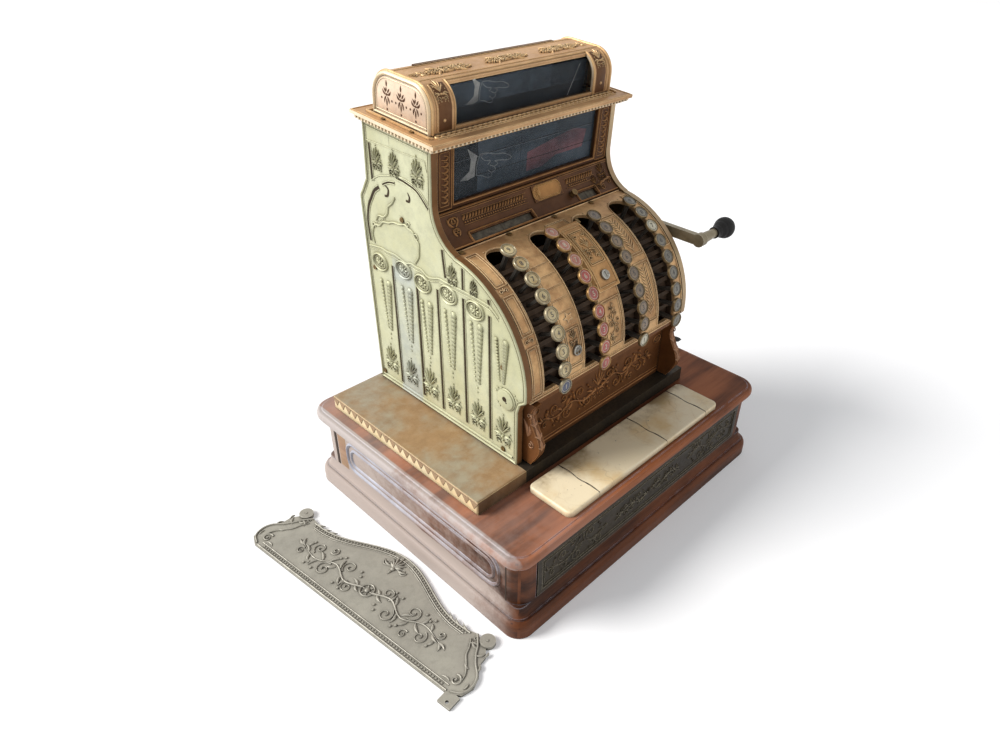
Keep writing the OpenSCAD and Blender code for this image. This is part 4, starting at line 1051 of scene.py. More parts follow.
# strip one: label cells, a star plate and the plate of the lock
for k, a in enumerate((33, 39.5, 46, 52.5, 59)):
    drum_lines.append(boss(loop(-79, at(a), -49.5, at(a + 5.6), 1, 2), 0.7, 0.5))
star = [(-64.2 + (8.5 if k % 2 else 4.2) * math.cos(k * math.pi / 5), at(29) + (6.5 if k % 2 else 3.2)
         * math.sin(k * math.pi / 5)) for k in range(10)]
drum_lines += [boss(loop(-78, at(25.4), -50.5, at(32.2), 3, 3), 0.6, 0.5), boss(star, 1.6, 0.6)]
drum_lines += panel_on(-77, -51.5, 3, 23.5, 2.4) + moved(palmette, -64.2, at(17.6), 0, 0.42)
drum_lines += [rib(loop(-78, at(-2), -50.5, at(1.5), 2, 2), 0.7, 0.9, closed=True)]
# strip two: the panels above and below the raised lid
drum_lines += panel_on(-7, 27, 1, 28, 3) + moved(spray, 10, at(3), 90, 0.5, 1) + panel_on(-7, 27, 73.5, 80, 2)
# strip three: feather relief in a long panel, and right border strip
drum_lines += panel_on(69.5, 99, 3, 38, 3) + panel_on(69.5, 99, 42, 70, 3)
drum_lines += [rib([(84.2, at(8)), (84.2, at(35))], 1.0, 1.3), rib([(84.2, at(45)), (84.2, at(67))], 1.0, 1.3)]
drum_lines += panel_on(140.5, 153, -3, 36, 2, False) + panel_on(140.5, 153, 40, 80, 2, False)
# rims of the slots, and the beads that close the casting above and below
for x in SLOTS:
    rim = [(x - SLOT_HALF, at(-2.2)), *[(x - SLOT_HALF, at(a)) for a in range(4, 71, 6)]]
    rim += [(x + SLOT_HALF * math.cos(math.radians(180 - k)), at(SLOT_HEAD) + SLOT_HALF
             * math.sin(math.radians(180 - k))) for k in range(0, 181, 15)]
    rim += [(x + SLOT_HALF, at(a)) for a in range(64, 3, -6)] + [(x + SLOT_HALF, at(-2.2))]
    drum_lines.append(rib(rim, 0.9, 1.1))
drum_lines += [band_across(FRONT_LEFT, FRONT_RIGHT, -5, 1.0, 1.2),
               band_across(FRONT_LEFT, FRONT_RIGHT, 85.6, 0.9, 1.4)]
cast("drum_mouldings", laid(drum_lines, drum), "base", drum_brass)
barbs = []
for a0, a1 in ((9, 34), (46, 66)):
    for a in np.arange(a0, a1, 2.0):
        barbs += [place_on(drum, 84.2 + s * 0.6, at(a), -s * 42, (1.0, 1.15, 0.9)) for s in (-1, 1)]
barb = motif("barb", [leaf(0, 0, 90, 9, 2.6, 1.3)])
set_row("drum_feathers", barb, barbs, drum_brass, "base")
set_row("drum_beads", bead_form, [place_on(drum, u, at(78.6), 0, 0.9) for u in np.arange(-116, 136, 4.2)
                                  if min(abs(u - x) for x in SLOTS) < 12] +
        [place_on(drum, u, at(-3.6), 0, 0.9) for u in np.arange(-137, 153, 4.2)], drum_brass, "base")

# ---------------------------------------------------------------------------
# Counter lid
# Raised brass cover with a bright edge, a border, a leaf relief and a small steel lock;
# it swings up on a pin between two ears to show the counters.
lid_brass = casting("lid brass", (198, 152, 100), (250, 222, 168), (146, 106, 66), patch_scale=30.0, rubbing=0.95,
                    edge=0.0016, shine=0.38, metalness=0.35, dirt_low=0.45, dirt_high=0.96)
lock_steel = casting("lock steel", (150, 148, 140), (226, 226, 220), (104, 98, 88), patch_scale=60.0, rubbing=0.8,
                     shine=0.26, metalness=0.85, dirt_reach=0.002)
dress(lid_brass, "counter_lid")


LID_RISE = 8


def lid_face(u, v, h):
    """The outside of the lid, which stands above the drum."""
    return drum(u, v, h + LID_RISE)


lid_corners = [(-6, 34.8), (26, 34.8), (26, 69), (-6, 69)]
lid_edge = [(a[0] + (b[0] - a[0]) * k / 8, at(a[1] + (b[1] - a[1]) * k / 8))
            for a, b in zip(lid_corners, lid_corners[1:] + lid_corners[:1]) for k in range(8)]
lid_lines = [rib(lid_edge, 0.8, 1.0, closed=True)]
lid_lines += panel_on(-2.5, 22.5, 46.5, 66.5, 2) + moved(palmette, 10, at(56), 0, 0.5)
lid_lines += [scroll(3, at(50), 3.4, 0, 1.2), scroll(17, at(50), 3.4, 180, 1.2, -1),
              scroll(3, at(63.6), 3.0, 0, 1.2, -1), scroll(17, at(63.6), 3.0, 180, 1.2)]
cast("lid_relief", laid(lid_lines, lid_face), "lid", lid_brass)


def turned(profile, centre, out, n=24):
    """A turned part: (radius, height) points about an axis."""
    axis = Vector(out).normalized()
    side = axis.orthogonal().normalized()
    third = axis.cross(side)
    points = [Vector(centre) + axis * z + (side * math.cos(2 * math.pi * k / n) + third
                                           * math.sin(2 * math.pi * k / n)) * r for r, z in profile
              for k in range(n)]
    rows = len(profile)
    faces = [(i * n + k, i * n + (k + 1) % n, (i + 1) * n + (k + 1) % n, (i + 1) * n + k) for i in range(rows - 1)
             for k in range(n)]
    return np.array([tuple(p) for p in points]), faces + [tuple(range(n)),
                                                          tuple((rows - 1) * n + k for k in range(n))]


def turned_on(surface, u, v, profile, n=24):
    """A turned part that stands on a surface."""
    base, end = Vector(surface(u, v, 0)), Vector(surface(u, v, 1))
    return turned(profile, base, end - base, n)


def lock(surface, u, v, r, high):
    """A lock barrel with a chamfered rim and its key slot."""
    barrel = turned_on(surface, u, v, [(r, -0.4), (r, high - 0.6), (r - 0.6, high), (r - 1.4, high),
                                       (r - 1.6, high - 0.5), (0.3, high - 0.5)])
    slit = [(u - 0.5, v - r * 0.5), (u + 0.5, v - r * 0.5), (u + 0.5, v + r * 0.3), (u + 1.2, v + r * 0.55),
            (u - 1.2, v + r * 0.55), (u - 0.5, v + r * 0.3)]
    # the key slot is a dark raised shape: painted shade of its hole
    cut = boss(slit, high - 0.38, 0.05)
    return [barrel, (laid([cut], surface)[0][0], cut[1], 1)]


cast("lid_lock", lock(lid_face, 10, at(40), 6.3, 3.2), "lid", lock_steel, groove_dark)

# ---------------------------------------------------------------------------
# Keys and their guides
# Flat steel stems run in slotted combs. Each carries a nickelled cup with a printed
# face under a clear disc: cream, red, tan and grey columns with plain figures.
bank_steel = casting("guide steel", (70, 54, 40), (132, 108, 80), (48, 36, 26), shine=0.55, rubbing=0.6,
                     metalness=0.15)
dress(bank_steel, "key_banks")
stem_steel = casting("stem steel", (92, 88, 82), (160, 156, 150), (64, 58, 50), shine=0.35, rubbing=0.5,
                     metalness=0.7)
cup_nickel = casting("cup nickel", (160, 150, 124), (214, 206, 184), (118, 104, 76), patch_scale=90.0, shine=0.32,
                     rubbing=0.8, edge=0.0008, metalness=0.5, dirt_reach=0.0015)
cup_brass = casting("cup brass", (172, 140, 92), (222, 190, 140), (128, 96, 60), patch_scale=90.0, shine=0.3,
                    rubbing=0.8, edge=0.0008, metalness=0.65, dirt_reach=0.0015)
cup_grey = casting("cup grey", (126, 108, 78), (200, 182, 146), (84, 70, 48), patch_scale=90.0, shine=0.34,
                   rubbing=0.7, edge=0.0008, metalness=0.6, dirt_reach=0.0015)
face_group, face_in, face_out = effect(
    "printed face", [("Paper", tone(220, 205, 165)), ("Yellowed", tone(190, 165, 115)),
                     ("Stain and shade", tone(120, 96, 62))], [("Color", "NodeSocketColor"),
                                                     ("Roughness", "NodeSocketFloat"),
                                                     ("Height", "NodeSocketFloat")])
t = face_group
place = put(t, "ShaderNodeTexCoord").outputs["Object"]
clouds = noise(t, place, 70.0, 5, 0.65)
skin = blend_colours(t, ramp(t, clouds, 0.4, 0.62), face_in["Paper"], face_in["Yellowed"])
skin = blend_colours(t, ramp(t, noise(t, place, 300.0, 4, 0.7), 0.6, 0.78, 0.0, 0.6), skin, face_in["Stain and shade"])
# the face is darkened under the cup's rim: painted shade with stains
skin = blend_colours(t, math_of(t, "MULTIPLY", sheltered(t, 0.0016), 0.5), skin, face_in["Stain and shade"])
t.links.new(skin, face_out.inputs["Color"])
t.links.new(ramp(t, clouds, 0.3, 0.7, 0.3, 0.42), face_out.inputs["Roughness"])
t.links.new(clouds, face_out.inputs["Height"])


def printed(name, paper, yellowed, stain):
    """A finish of printed paper under its clear disc."""
    return finish(name, face_group, {"Paper": tone(*paper), "Yellowed": tone(*yellowed), "Stain and shade": tone(*stain)},
                  bump=0.1, coat=0.6)


cream = printed("cream face", (208, 188, 136), (176, 148, 94), (104, 80, 48))
red = printed("red face", (176, 66, 50), (140, 48, 38), (84, 34, 26))
rose = printed("rose face", (188, 118, 96), (150, 84, 66), (90, 50, 38))
blue = printed("blue face", (52, 62, 92), (40, 46, 68), (26, 28, 40))
tan = printed("tan face", (128, 104, 74), (98, 80, 58), (60, 46, 32))
grey = printed("grey face", (120, 114, 98), (92, 86, 72), (54, 48, 40))
ivory = printed("ivory face", (212, 206, 184), (182, 172, 140), (120, 104, 76))
ink = printed("ink", (30, 26, 24), (44, 36, 30), (20, 18, 16))
pale_ink = printed("pale ink", (206, 198, 176), (180, 168, 140), (120, 106, 80))


def figure(text, size, height):
    """A figure of the face, centred, as closed outlines in millimetres: points and faces."""
    letters = bpy.data.curves.new("figure", "FONT")
    letters.body = text
    letters.size = size
    letters.align_x = "CENTER"
    letters.align_y = "CENTER"
    letters.extrude = height / 2
    letters.resolution_u = 3
    holder = bpy.data.objects.new("figure", letters)
    flat = bpy.data.meshes.new_from_object(holder)
    points = np.array([v.co for v in flat.vertices])
    faces = [tuple(p.vertices) for p in flat.polygons]
    bpy.data.objects.remove(holder)
    points[:, :2] -= (points[:, :2].min(0) + points[:, :2].max(0)) / 2
    return points, faces


figures = {k: figure(str(k), 8.6, 0.35) for k in range(1, 10)}
cap = [(3.2, -5.6), (4.6, -5.3), (8.4, -4.7), (9.6, -3.6), (9.6, -1.0), (9.35, -0.4), (8.95, 0), (8.55, -0.15),
       (8.3, -1.1), (8.2, -1.25)]
face_disc = [(8.25, -1.5), (8.25, -1.2), (6.2, -0.95), (2.0, -0.85), (0.4, -0.84)]


def key_parts(row):
    """The parts of one key about its own axis: cup, face, ring, figure, neck and stem."""
    parts = [(*turned(cap, (0, 0, 0), (0, 0, 1), 28), 0), (*turned(face_disc, (0, 0, 0), (0, 0, 1), 24), 1)]
    parts.append((*rib(circle(0, 0, 6.4, 24), 0.35, 0.2, closed=True, sink=0.1), 2))
    parts[-1][0][:, 2] -= 0.95
    p, faces = figures[10 - row]
    parts.append((p + [0, 0, -0.78], faces, 2))
    parts.append((*turned([(5.3, -7), (5.3, -5.4), (3.0, -5.2)], (0, 0, 0), (0, 0, 1), 16), 3))
    stem = np.array([(x, y, z) for z in (-60.6, -6)
                     for x, y in ((-3.5, -1.5), (3.5, -1.5), (3.5, 1.5), (-3.5, 1.5))], float)
    parts.append((stem, [(0, 3, 2, 1), (4, 5, 6, 7)] + [(k, (k + 1) % 4, 4 + (k + 1) % 4, 4 + k)
                                                        for k in range(4)], 3))
    return parts


KEY_R, FIRST_KEY, KEY_STEP = 152, 68.6, 8.49
for column, x, cup in zip("abcd", SLOTS, (cup_nickel, cup_brass, cup_grey, cup_grey)):
    for row in range(1, 10):
        a = math.radians(FIRST_KEY - KEY_STEP * (row - 1))
        out = Vector((0, -math.cos(a), math.sin(a)))
        upward = Vector((0, math.sin(a), math.cos(a)))
        base = np.array([(1, 0, 0), tuple(upward), tuple(out)])
        centre = np.array([x, DRUM_Y + out.y * KEY_R, DRUM_Z + out.z * KEY_R])
        face, lettering = {"a": (cream, ink), "b": (rose if row < 4 else red, pale_ink), "c": (tan, ink),
                        "d": (grey, ink)}[column]
        if (column, row) == ("a", 9):
            face, lettering = blue, pale_ink
        if (column, row) in (("d", 3), ("c", 9)):
            face = ivory
        name = "key_%s%d" % (column, row)
        whole = [(p @ base + centre, faces, kind) for p, faces, kind in key_parts(row)]
        key = cast("round_" + name, whole, name, cup, face, lettering, stem_steel, sharp=35)
        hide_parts(name)

# ---------------------------------------------------------------------------
# Front plate and brackets
# Coppery cast plate below the keys with a flower relief under a bright lip; a scroll
# bracket with acanthus leaves closes each end.
copper = casting("copper front", (116, 74, 40), (192, 138, 86), (82, 50, 28), patch_scale=18.0, rubbing=0.8,
                 shine=0.38, metalness=0.3, dirt_reach=0.003, dirt_low=0.45, dirt_high=0.96)
# the raised relief takes a lighter copy of the copper: rubbing and painted highlight
copper_relief = casting("rubbed and highlit copper relief", (160, 106, 60), (222, 168, 108), (116, 74, 42), patch_scale=30.0,
                        rubbing=0.9, edge=0.0008, shine=0.38, dirt_reach=0.0034, dirt_low=0.5, dirt_high=0.98)
bracket_copper = casting("bracket copper", (164, 120, 88), (222, 186, 152), (120, 82, 58), patch_scale=30.0,
                         rubbing=0.8, shine=0.38, metalness=0.3, dirt_reach=0.0022, dirt_low=0.45, dirt_high=0.96)
dress(copper, "front_plate")


PLATE_FRONT = -80


def plate_face(u, v, h):
    """The plate below the keys: u across, v up, h forwards."""
    return u, PLATE_FRONT - h, v


plate_lines = [rib(loop(-134, 150, 149, 222, 3, 3), 1.2, 1.3, closed=True),
               rib(loop(-129, 155, 144, 217, 2, 3), 0.6, 0.8, closed=True)]
plate_lines += moved(spray, 11, 184, 0, 1.05, 1, 2.0) + moved(spray, -1, 184, 180, 1.05, 1, 2.0)
plate_lines += moved(palmette, 5, 186, 0, 0.9) + moved(rosette, -116, 204, 0,
                                                       0.55) + moved(rosette, 131, 204, 0, 0.55)
cast("front_plate_relief", laid(plate_lines, plate_face), "base", copper_relief)


def lip_top(u, v, h):
    """The top of the lip above the plate: u across, v forwards, h up."""
    return u, PLATE_FRONT - v, 234.3 + h


cast("front_lip_beads", laid([rib([(-126, 3), (141, 3)], 0.9, 0.5), rib([(-126, 12), (141, 12)], 0.9, 0.6)],
                             lip_top), "base", copper)
bracket_parts = []
for x, s in ((-137, -1), (152, 1)):
    def bracket_side(u, v, h, x=x, s=s):
        return x + s * h, -u, v
    bracket_parts += laid(moved([leaf(0, 0, 90, 26, 7, 1.2, 0.3), leaf(2, 2, 60, 16, 5, 1.0, 0.5),
                                 leaf(-1, 6, 118, 14, 4, 1.0, -0.5), scroll(6, -12, 6, 90, 1.3, -1),
                                 scroll(2, 34, 4.4, -60, 1.3)], 90, 186, 0, 0.9), bracket_side)
for x in (-132, 147):
    def bracket_front(u, v, h, x=x):
        bulge = 21.5 + 8 * math.sin(math.radians(400 * (v - 145) / 89.3 - 42))
        return x + u, PLATE_FRONT - bulge - h, v
    bracket_parts += laid([leaf(0, 172 + 14 * k, 90, 15, 5, 1.2) for k in range(4)] + [
        leaf(0, 174 + 14 * k, 90 + s * 55, 7, 3, 1.0) for k in range(4) for s in (-1, 1)], bracket_front)
cast("bracket_leaves", bracket_parts, "base", bracket_copper)

# ---------------------------------------------------------------------------
# Cornice
# Moulded brass cap of three steps screwed to the panels, with a row of small dentils
# under its edge and a band of interlaced rings on its front slope.
# its ends are paler than its front: painted light
head_brass = casting("head brass", (206, 164, 118), (246, 214, 164), (164, 124, 86), patch_scale=18.0,
                     rubbing=0.85, edge=0.0016, shine=0.4, dirt_reach=0.003, dirt_low=0.45, dirt_high=0.96,
                     side=tone(238, 222, 196), side_tarnish=tone(218, 192, 158), side_share=1.0)
# the raised reliefs take a lighter copy of the head brass: rubbing and painted highlight
head_relief = casting("rubbed and highlit head relief", (220, 180, 128), (252, 228, 182), (172, 132, 88), patch_scale=30.0,
                      rubbing=0.9, edge=0.0008, shine=0.38, dirt_reach=0.002, dirt_low=0.3, dirt_high=0.92)
pale_rim = casting("pale rim brass", (234, 214, 180), (248, 236, 210), (204, 176, 136), patch_scale=26.0,
                   rubbing=0.7, shine=0.4, metalness=0.25, dirt_reach=0.003)
dress(head_brass, "cornice")


def cornice_top(u, v, h):
    """The top of the cornice: u across, v back, h up."""
    return head(u, v, 11 + h)


dentil = motif("dentil", [boss([(-1.3, -1.6), (1.3, -1.6), (1.3, 1.6), (-1.3, 1.6)], 2.2, 0.35)])
steps = []
for s, x in ((-1, -151), (1, 166)):
    def cornice_side(u, v, h, x=x, s=s):
        return head(x + s * h, u, v)
    steps += [place_on(cornice_side, u, 5.0, 0, (1.15, 1.15, 1.5), 3.7) for u in np.arange(-11, 127, 6.0)]
    steps += [place_on(cornice_side, u, 1.4, 0, (0.9, 0.8, 1.2)) for u in np.arange(-6, 125, 4.0)]


def under_front(u, v, h):
    """The front of the cornice's lowest step, under its edge."""
    return head(u, -13 - h, v)


steps += [place_on(under_front, u, 5.0, 0, (1.0, 1.0, 0.9)) for u in np.arange(-152, 168, 6.0)]
set_row("cornice_dentils", dentil, steps, pale_rim, "base")
band = [rib([(-157.5, -15.4), (172.5, -15.4)], 0.9, 0.9), rib([(-140, -3.6), (155, -3.6)], 0.7, 0.9)]
for k in range(38):
    band.append(rib(circle(-134.5 + k * 7.7, 2.2, 4.9, 16, 3.6), 0.9, 1.5, closed=True))
band += [rib([(-157, -14), (-157, 128)], 0.9, 0.9), rib([(172, -14), (172, 128)], 0.9, 0.9),
         rib([(-157, 128), (172, 128)], 0.9, 0.9), rib([(-147, 112), (-147, 3), (-144.5, 1)], 1.5, 2.0, SQUARE),
         rib([(162, 112), (162, 3), (159.5, 1)], 1.5, 2.0, SQUARE), rib([(-147, 113), (162, 113)], 1.5, 2.0, SQUARE)]
cast("cornice_guilloche", laid(band, cornice_top), "base", head_relief)
cast("window_lip", laid([rib([(FRONT_LEFT, -1.5), (FRONT_RIGHT, -1.5)], 0.7, 1.2)], window_face), "base", pale_rim)

# ---------------------------------------------------------------------------
# Hood
# Rounded top housing: bright raised rims, pierced fleurs on the ends, scrolled leaves on
# the top and a dark rail that takes the sign.
# the hood's end fields are pale like the lit left end: painted light
hood_field = casting("hood end field", (232, 208, 184), (240, 224, 204), (214, 186, 160), patch_scale=30.0,
                     rubbing=0.5, shine=0.46, metalness=0.15, dirt_reach=0.003)
pier_brown = casting("brown pier", (102, 68, 40), (188, 140, 88), (72, 47, 27), patch_scale=30.0, dirt_low=0.45,
                     dirt_high=0.96)
pierced = casting("pierced shadow", (96, 66, 46), (120, 88, 62), (70, 46, 32), shine=0.6, metalness=0.1)
dress(head_brass, "hood")


HOOD_FRONT, HOOD_BACK, HOOD_FOOT, HOOD_TOP = 8, 108, 11, 61
FRONT_SHOULDER, REAR_SHOULDER = 27, 29


def hood_line(inset):
    """The hood's end outline in (v, w), moved in."""
    path = [(HOOD_FRONT + inset, 11.2)]
    for cv, r, a0, a1 in ((HOOD_FRONT + FRONT_SHOULDER, FRONT_SHOULDER, 180, 90),
                          (HOOD_BACK - REAR_SHOULDER, REAR_SHOULDER, 90, 0)):
        for k in range(11):
            a = math.radians(a0 + (a1 - a0) * k / 10)
            path.append((cv + (r - inset) * math.cos(a), HOOD_TOP - r + (r - inset) * math.sin(a)))
    return path + [(HOOD_BACK - inset, 11.2)]


fleur = [leaf(0, 9, 90, 6.5, 3.6, 0.5), leaf(0.6, 8, -90, 4, 3.0, 0.5), leaf(-1.2, 3, 126, 6, 3.0, 0.5),
         leaf(1.2, 3, 54, 6, 3.0, 0.5), leaf(-1.5, 1, 178, 7, 3.4, 0.5, -0.7), leaf(1.5, 1, 2, 7, 3.4, 0.5, 0.7),
         leaf(-1.2, -1, 222, 7.5, 3.2, 0.5, 0.5), leaf(1.2, -1, -42, 7.5, 3.2, 0.5, -0.5),
         leaf(0, -3, -90, 8, 3.2, 0.5), button(0, 1, 1.5, 0.5), button(-8.4, -3.6, 1.3, 0.5),
         button(8.4, -3.6, 1.3, 0.5), button(0, -13.4, 1.4, 0.5)]
rims, end_fields, fleurs = [], [], []
for x, s in ((-141, -1), (156, 1)):
    def hood_end(u, v, h, x=x, s=s):
        return head(x + s * h, u, v)
    rims += laid([rib(hood_line(2.4), 2.4, 2.2), rib([(10, 13.4), (106, 13.4)], 2.2, 2.0),
                  rib(hood_line(7.0), 0.7, 1.0), rib([(14, 17.6), (102, 17.6)], 0.7, 1.0)], hood_end)
    end_fields += laid([boss(hood_line(5.5)[1:-1] + [(102.5, 16)] + [(13.5, 16)], 0.4, 0.3)], hood_end)
    for v in (32, 57, 82):
        fleurs += laid(moved(fleur, v, 35, 0, 1.08, 1, 1.0), lambda u, v, h, e=hood_end: e(u, v, h + 0.35))
cast("hood_end_rims", rims, "base", pale_rim)
cast("hood_end_fields", end_fields, "base", hood_field)
# the pierced fleurs are dark raised leaves: painted shade of their openings
cast("hood_fleurs", fleurs, "base", pierced)


def hood_shell(u, v, h):
    """The hood's outside: v is the length from the foot of the front over the shoulders to the back."""
    front, rear = HOOD_FRONT + FRONT_SHOULDER, HOOD_BACK - REAR_SHOULDER
    front_height, rear_height = HOOD_TOP - FRONT_SHOULDER, HOOD_TOP - REAR_SHOULDER
    bend = front_height - HOOD_FOOT
    top = bend + FRONT_SHOULDER * math.pi / 2
    second_bend = top + (rear - front)
    back_edge = second_bend + REAR_SHOULDER * math.pi / 2
    if v < bend:
        return head(u, HOOD_FRONT - h, HOOD_FOOT + v)
    if v < top:
        a = math.pi - (v - bend) / FRONT_SHOULDER
        return head(u, front + (FRONT_SHOULDER + h) * math.cos(a), front_height + (FRONT_SHOULDER + h) * math.sin(a))
    if v < second_bend:
        return head(u, front + v - top, HOOD_TOP + h)
    if v < back_edge:
        a = math.pi / 2 - (v - second_bend) / REAR_SHOULDER
        return head(u, rear + (REAR_SHOULDER + h) * math.cos(a), rear_height + (REAR_SHOULDER + h) * math.sin(a))
    return head(u, HOOD_BACK + h, rear_height - (v - back_edge))


def fine_line(u0, v0, u1, v1, n):
    """A straight line in short steps, so that it can bend with the hood."""
    return [(u0 + (u1 - u0) * k / n, v0 + (v1 - v0) * k / n) for k in range(n + 1)]


top_parts = [rib(fine_line(u, 1, u, 175, 50), 2.0, 1.8) for u in (-138.6, 153.6)]
top_parts += [rib(fine_line(u, 1, u, 57, 24), 1.0, 1.4) for u in (-107, 122)]
top_parts += [rib(fine_line(u, 4, u, 54, 24), 0.7, 1.0) for u in (-132, 147)]
top_parts += [rib([(-108, 57.6), (123, 57.6)], 1.1, 1.5), rib([(-136, 108), (151, 108)], 0.8, 0.9),
              rib([(-136, 64), (151, 64)], 0.7, 0.8)]
for u in (-82, 7, 96):
    top_parts += moved(spray, u + 2, 79, 0, 0.3, 1, 1.8) + moved(spray, u - 2, 79, 180, 0.3, 1, 1.8)
    top_parts += moved(spray, u + 2, 85, 0, 0.3, -1, 1.8) + moved(spray, u - 2, 85, 180, 0.3, -1, 1.8)
    top_parts += moved(rosette, u, 82, 0, 0.62, 1, 1.4)
    top_parts += [leaf(u + s * 6, 82, 90 - 90 * s + d, 19, 5.5, 2.2, d / 60) for s in (-1, 1) for d in (-22, 22)]
for u in (-122, 136):
    top_parts += moved(palmette, u, 44, 0, 0.5, 1, 0.9) + [button(u, 14, 2, 1.6)]
    top_parts += moved(palmette, u, 82, 90, 0.42, 1, 0.8)
top_parts += [(*rib(fine_line(u, 3, u, 55, 24), 10, 0.35, SQUARE), 1) for u in (-120.5, 135)]
cast("hood_reliefs", laid(top_parts, hood_shell), "base", head_relief, pier_brown)

# a dark rail on the hood, which the sign screws to
rail_dark = casting("rail", (92, 66, 46), (160, 122, 84), (62, 44, 32), shine=0.4, rubbing=0.8, metalness=0.5)
rail = np.array([head(u, v, w) for u in (-104.7, 119.7)
                 for v, w in ((78.8, 60.8), (84.2, 60.8), (84.2, 62.0), (83.4, 62.4), (79.6, 62.4), (78.8, 62.0))])
cast("sign_rail", [(rail, [tuple(range(6)), tuple(range(11, 5, -1))]
                    + [(k, (k + 1) % 6, 6 + (k + 1) % 6, 6 + k) for k in range(6)])], "base", rail_dark)

# ---------------------------------------------------------------------------
# Windows
# A flat pane below and another in the hood, over dark boards that carry a white
# pointing hand and, below, a faded red field. The raised figures of a sale are left out.
clear = bpy.data.materials.new("window glass")
clear.use_nodes = True
t = clear.node_tree
glass = t.nodes["Principled BSDF"]
for label, value in (("IOR", 1.45), ("Roughness", 0.12), ("Specular IOR Level", 0.08),
                     ("Base Color", (0.075, 0.088, 0.1, 1))):
    glass.inputs[label].default_value = value
smears = noise(t, put(t, "ShaderNodeTexCoord").outputs["Object"], 26.0, 6, 0.7)
t.links.new(ramp(t, smears, 0.35, 0.75, 0.24, 0.5), glass.inputs["Alpha"])
dress(clear, "window_glass")
board_group, board_in, board_out = effect(
    "dark board", [("Board", tone(104, 118, 132)), ("Dust", tone(128, 140, 152)), ("Black", tone(74, 86, 98))],
    [("Color", "NodeSocketColor"), ("Roughness", "NodeSocketFloat"), ("Height", "NodeSocketFloat")])
t = board_group
place = put(t, "ShaderNodeTexCoord").outputs["Object"]
clouds = noise(t, put(t, "ShaderNodeMapping", {"Vector": place, "Scale": (1, 1, 3)}).outputs[0], 12.0, 5)
skin = blend_colours(t, ramp(t, clouds, 0.38, 0.66), board_in["Board"], board_in["Black"])
skin = blend_colours(t, ramp(t, noise(t, place, 60.0, 4, 0.6), 0.5, 0.8, 0.0, 0.35), skin, board_in["Dust"])
t.links.new(skin, board_out.inputs["Color"])
t.links.new(ramp(t, clouds, 0.3, 0.7, 0.6, 0.8), board_out.inputs["Roughness"])
t.links.new(clouds, board_out.inputs["Height"])
slate_and_reflection = finish("slate board and painted reflection", board_group, {}, bump=0.1, specular=0.2)
black_board = finish("black board", board_group, {"Board": tone(24, 26, 30), "Dust": tone(42, 46, 50),
                                                  "Black": tone(14, 15, 18)}, bump=0.1, specular=0.2)
faded_red = finish("faded red", board_group, {"Board": tone(196, 130, 136), "Black": tone(156, 110, 120),
                                              "Dust": tone(206, 156, 158)}, bump=0.1, specular=0.2)
white_paint = finish("white paint", board_group, {"Board": tone(200, 206, 208), "Black": tone(156, 162, 168),
                                                 "Dust": tone(212, 212, 208)}, bump=0.1)
# also draws the thin diagonal line in the upper pane: a painted glint of the glass
white_paint_and_glint = finish("worn white paint and painted glint", board_group, {"Board": tone(252, 252, 246), "Black": tone(214, 216, 212),
                                                     "Dust": tone(150, 152, 152)}, bump=0.1)
hand_lines = [[(-9, 10), (0, 10.5), (9, 9), (19, 9), (27, 7), (31, 4.5), (27, 2.5), (18, 3), (10, 3)],
              [(10, 3), (14.5, 0.5), (10.5, -2), (5, -0.5)], [(10.5, -2), (12.5, -5), (8.5, -7.5), (3.5, -5)],
              [(8.5, -7.5), (8.5, -11), (3, -11.5), (-3, -9.5), (-10, -8.5)], [(-8, 8), (-2, 4), (5, 3.5), (2, 0)],
              [(-9, 10), (-11, 2), (-10, -8.5)]]
pointing_hand = [(*rib(curve(line, 4), 0.42, 0.15, SQUARE, sink=0.05), 3) for line in hand_lines]
cuff = [(-29, -12), (-20, -12), (-12, -9), (-13, 0), (-12, 9), (-18, 12), (-25, 16), (-19, 6), (-19, -4)]
pointing_hand.append((*boss(cuff, 0.1, 0.2, 0.05), 4))


def low_board(u, v, h):
    """The boards behind the lower pane."""
    return head(u, 8.4 - h, v)


def high_board(u, v, h):
    """The boards behind the upper pane."""
    return head(u, 26.8 - h, v)


def board(u0, u1, v0, v1, kind):
    """A thin board in (u, v)."""
    points = [(u, v, h) for h in (0, -0.8) for u, v in ((u0, v0), (u1, v0), (u1, v1), (u0, v1))]
    return (np.array(points, float),
            [(0, 1, 2, 3), (7, 6, 5, 4)] + [(k, 4 + k, 4 + (k + 1) % 4, (k + 1) % 4) for k in range(4)], kind)


tablets = laid([board(-117, -72, -68.5, -3.5, 0), board(-71.6, -2, -68.5, -3.5, 1),
                board(-1.6, 132, -68.5, -3.5, 1),
                (*boss([(10, -62), (38, -62), (62, -52), (113, -52), (119, -30), (92, -24), (10, -38)], 0.1, 0.1),
                 2)], low_board)
# in the upper pane the slate band is a painted reflection of the curved glass, and the thin diagonal line a painted
# glint
tablets += laid([board(-111, -30, 11.5, 27, 0), board(-29.6, 126, 11.5, 27, 0), board(-111, 126, 27.4, 53, 1),
                 board(62, 126, 27.6, 53.2, 0), rib([(114, 47.5), (95.5, 12)], 0.5, 0.3, SQUARE,
                                                    sink=0.05) + (4,)], high_board)
tablets += laid([rib([(-117, w), (131, w)], wide, 0.25, SQUARE, sink=0.05) + (kind,)
                 for w, wide, kind in ((-24, 0.5, 0), (-25.2, 0.15, 3), (-47, 0.5, 0), (-8, 0.4, 0))],
                low_board)
tablets += laid(moved(pointing_hand, -59, -38, -8, 1.32), lambda u, v, h: low_board(u, v, h + 0.3))
tablets += laid(moved(pointing_hand, -43, 38, -6, 1.08), lambda u, v, h: high_board(u, v, h + 0.02))
cast("indicator_boards", tablets, "base", black_board, slate_and_reflection, faded_red, white_paint, white_paint_and_glint)

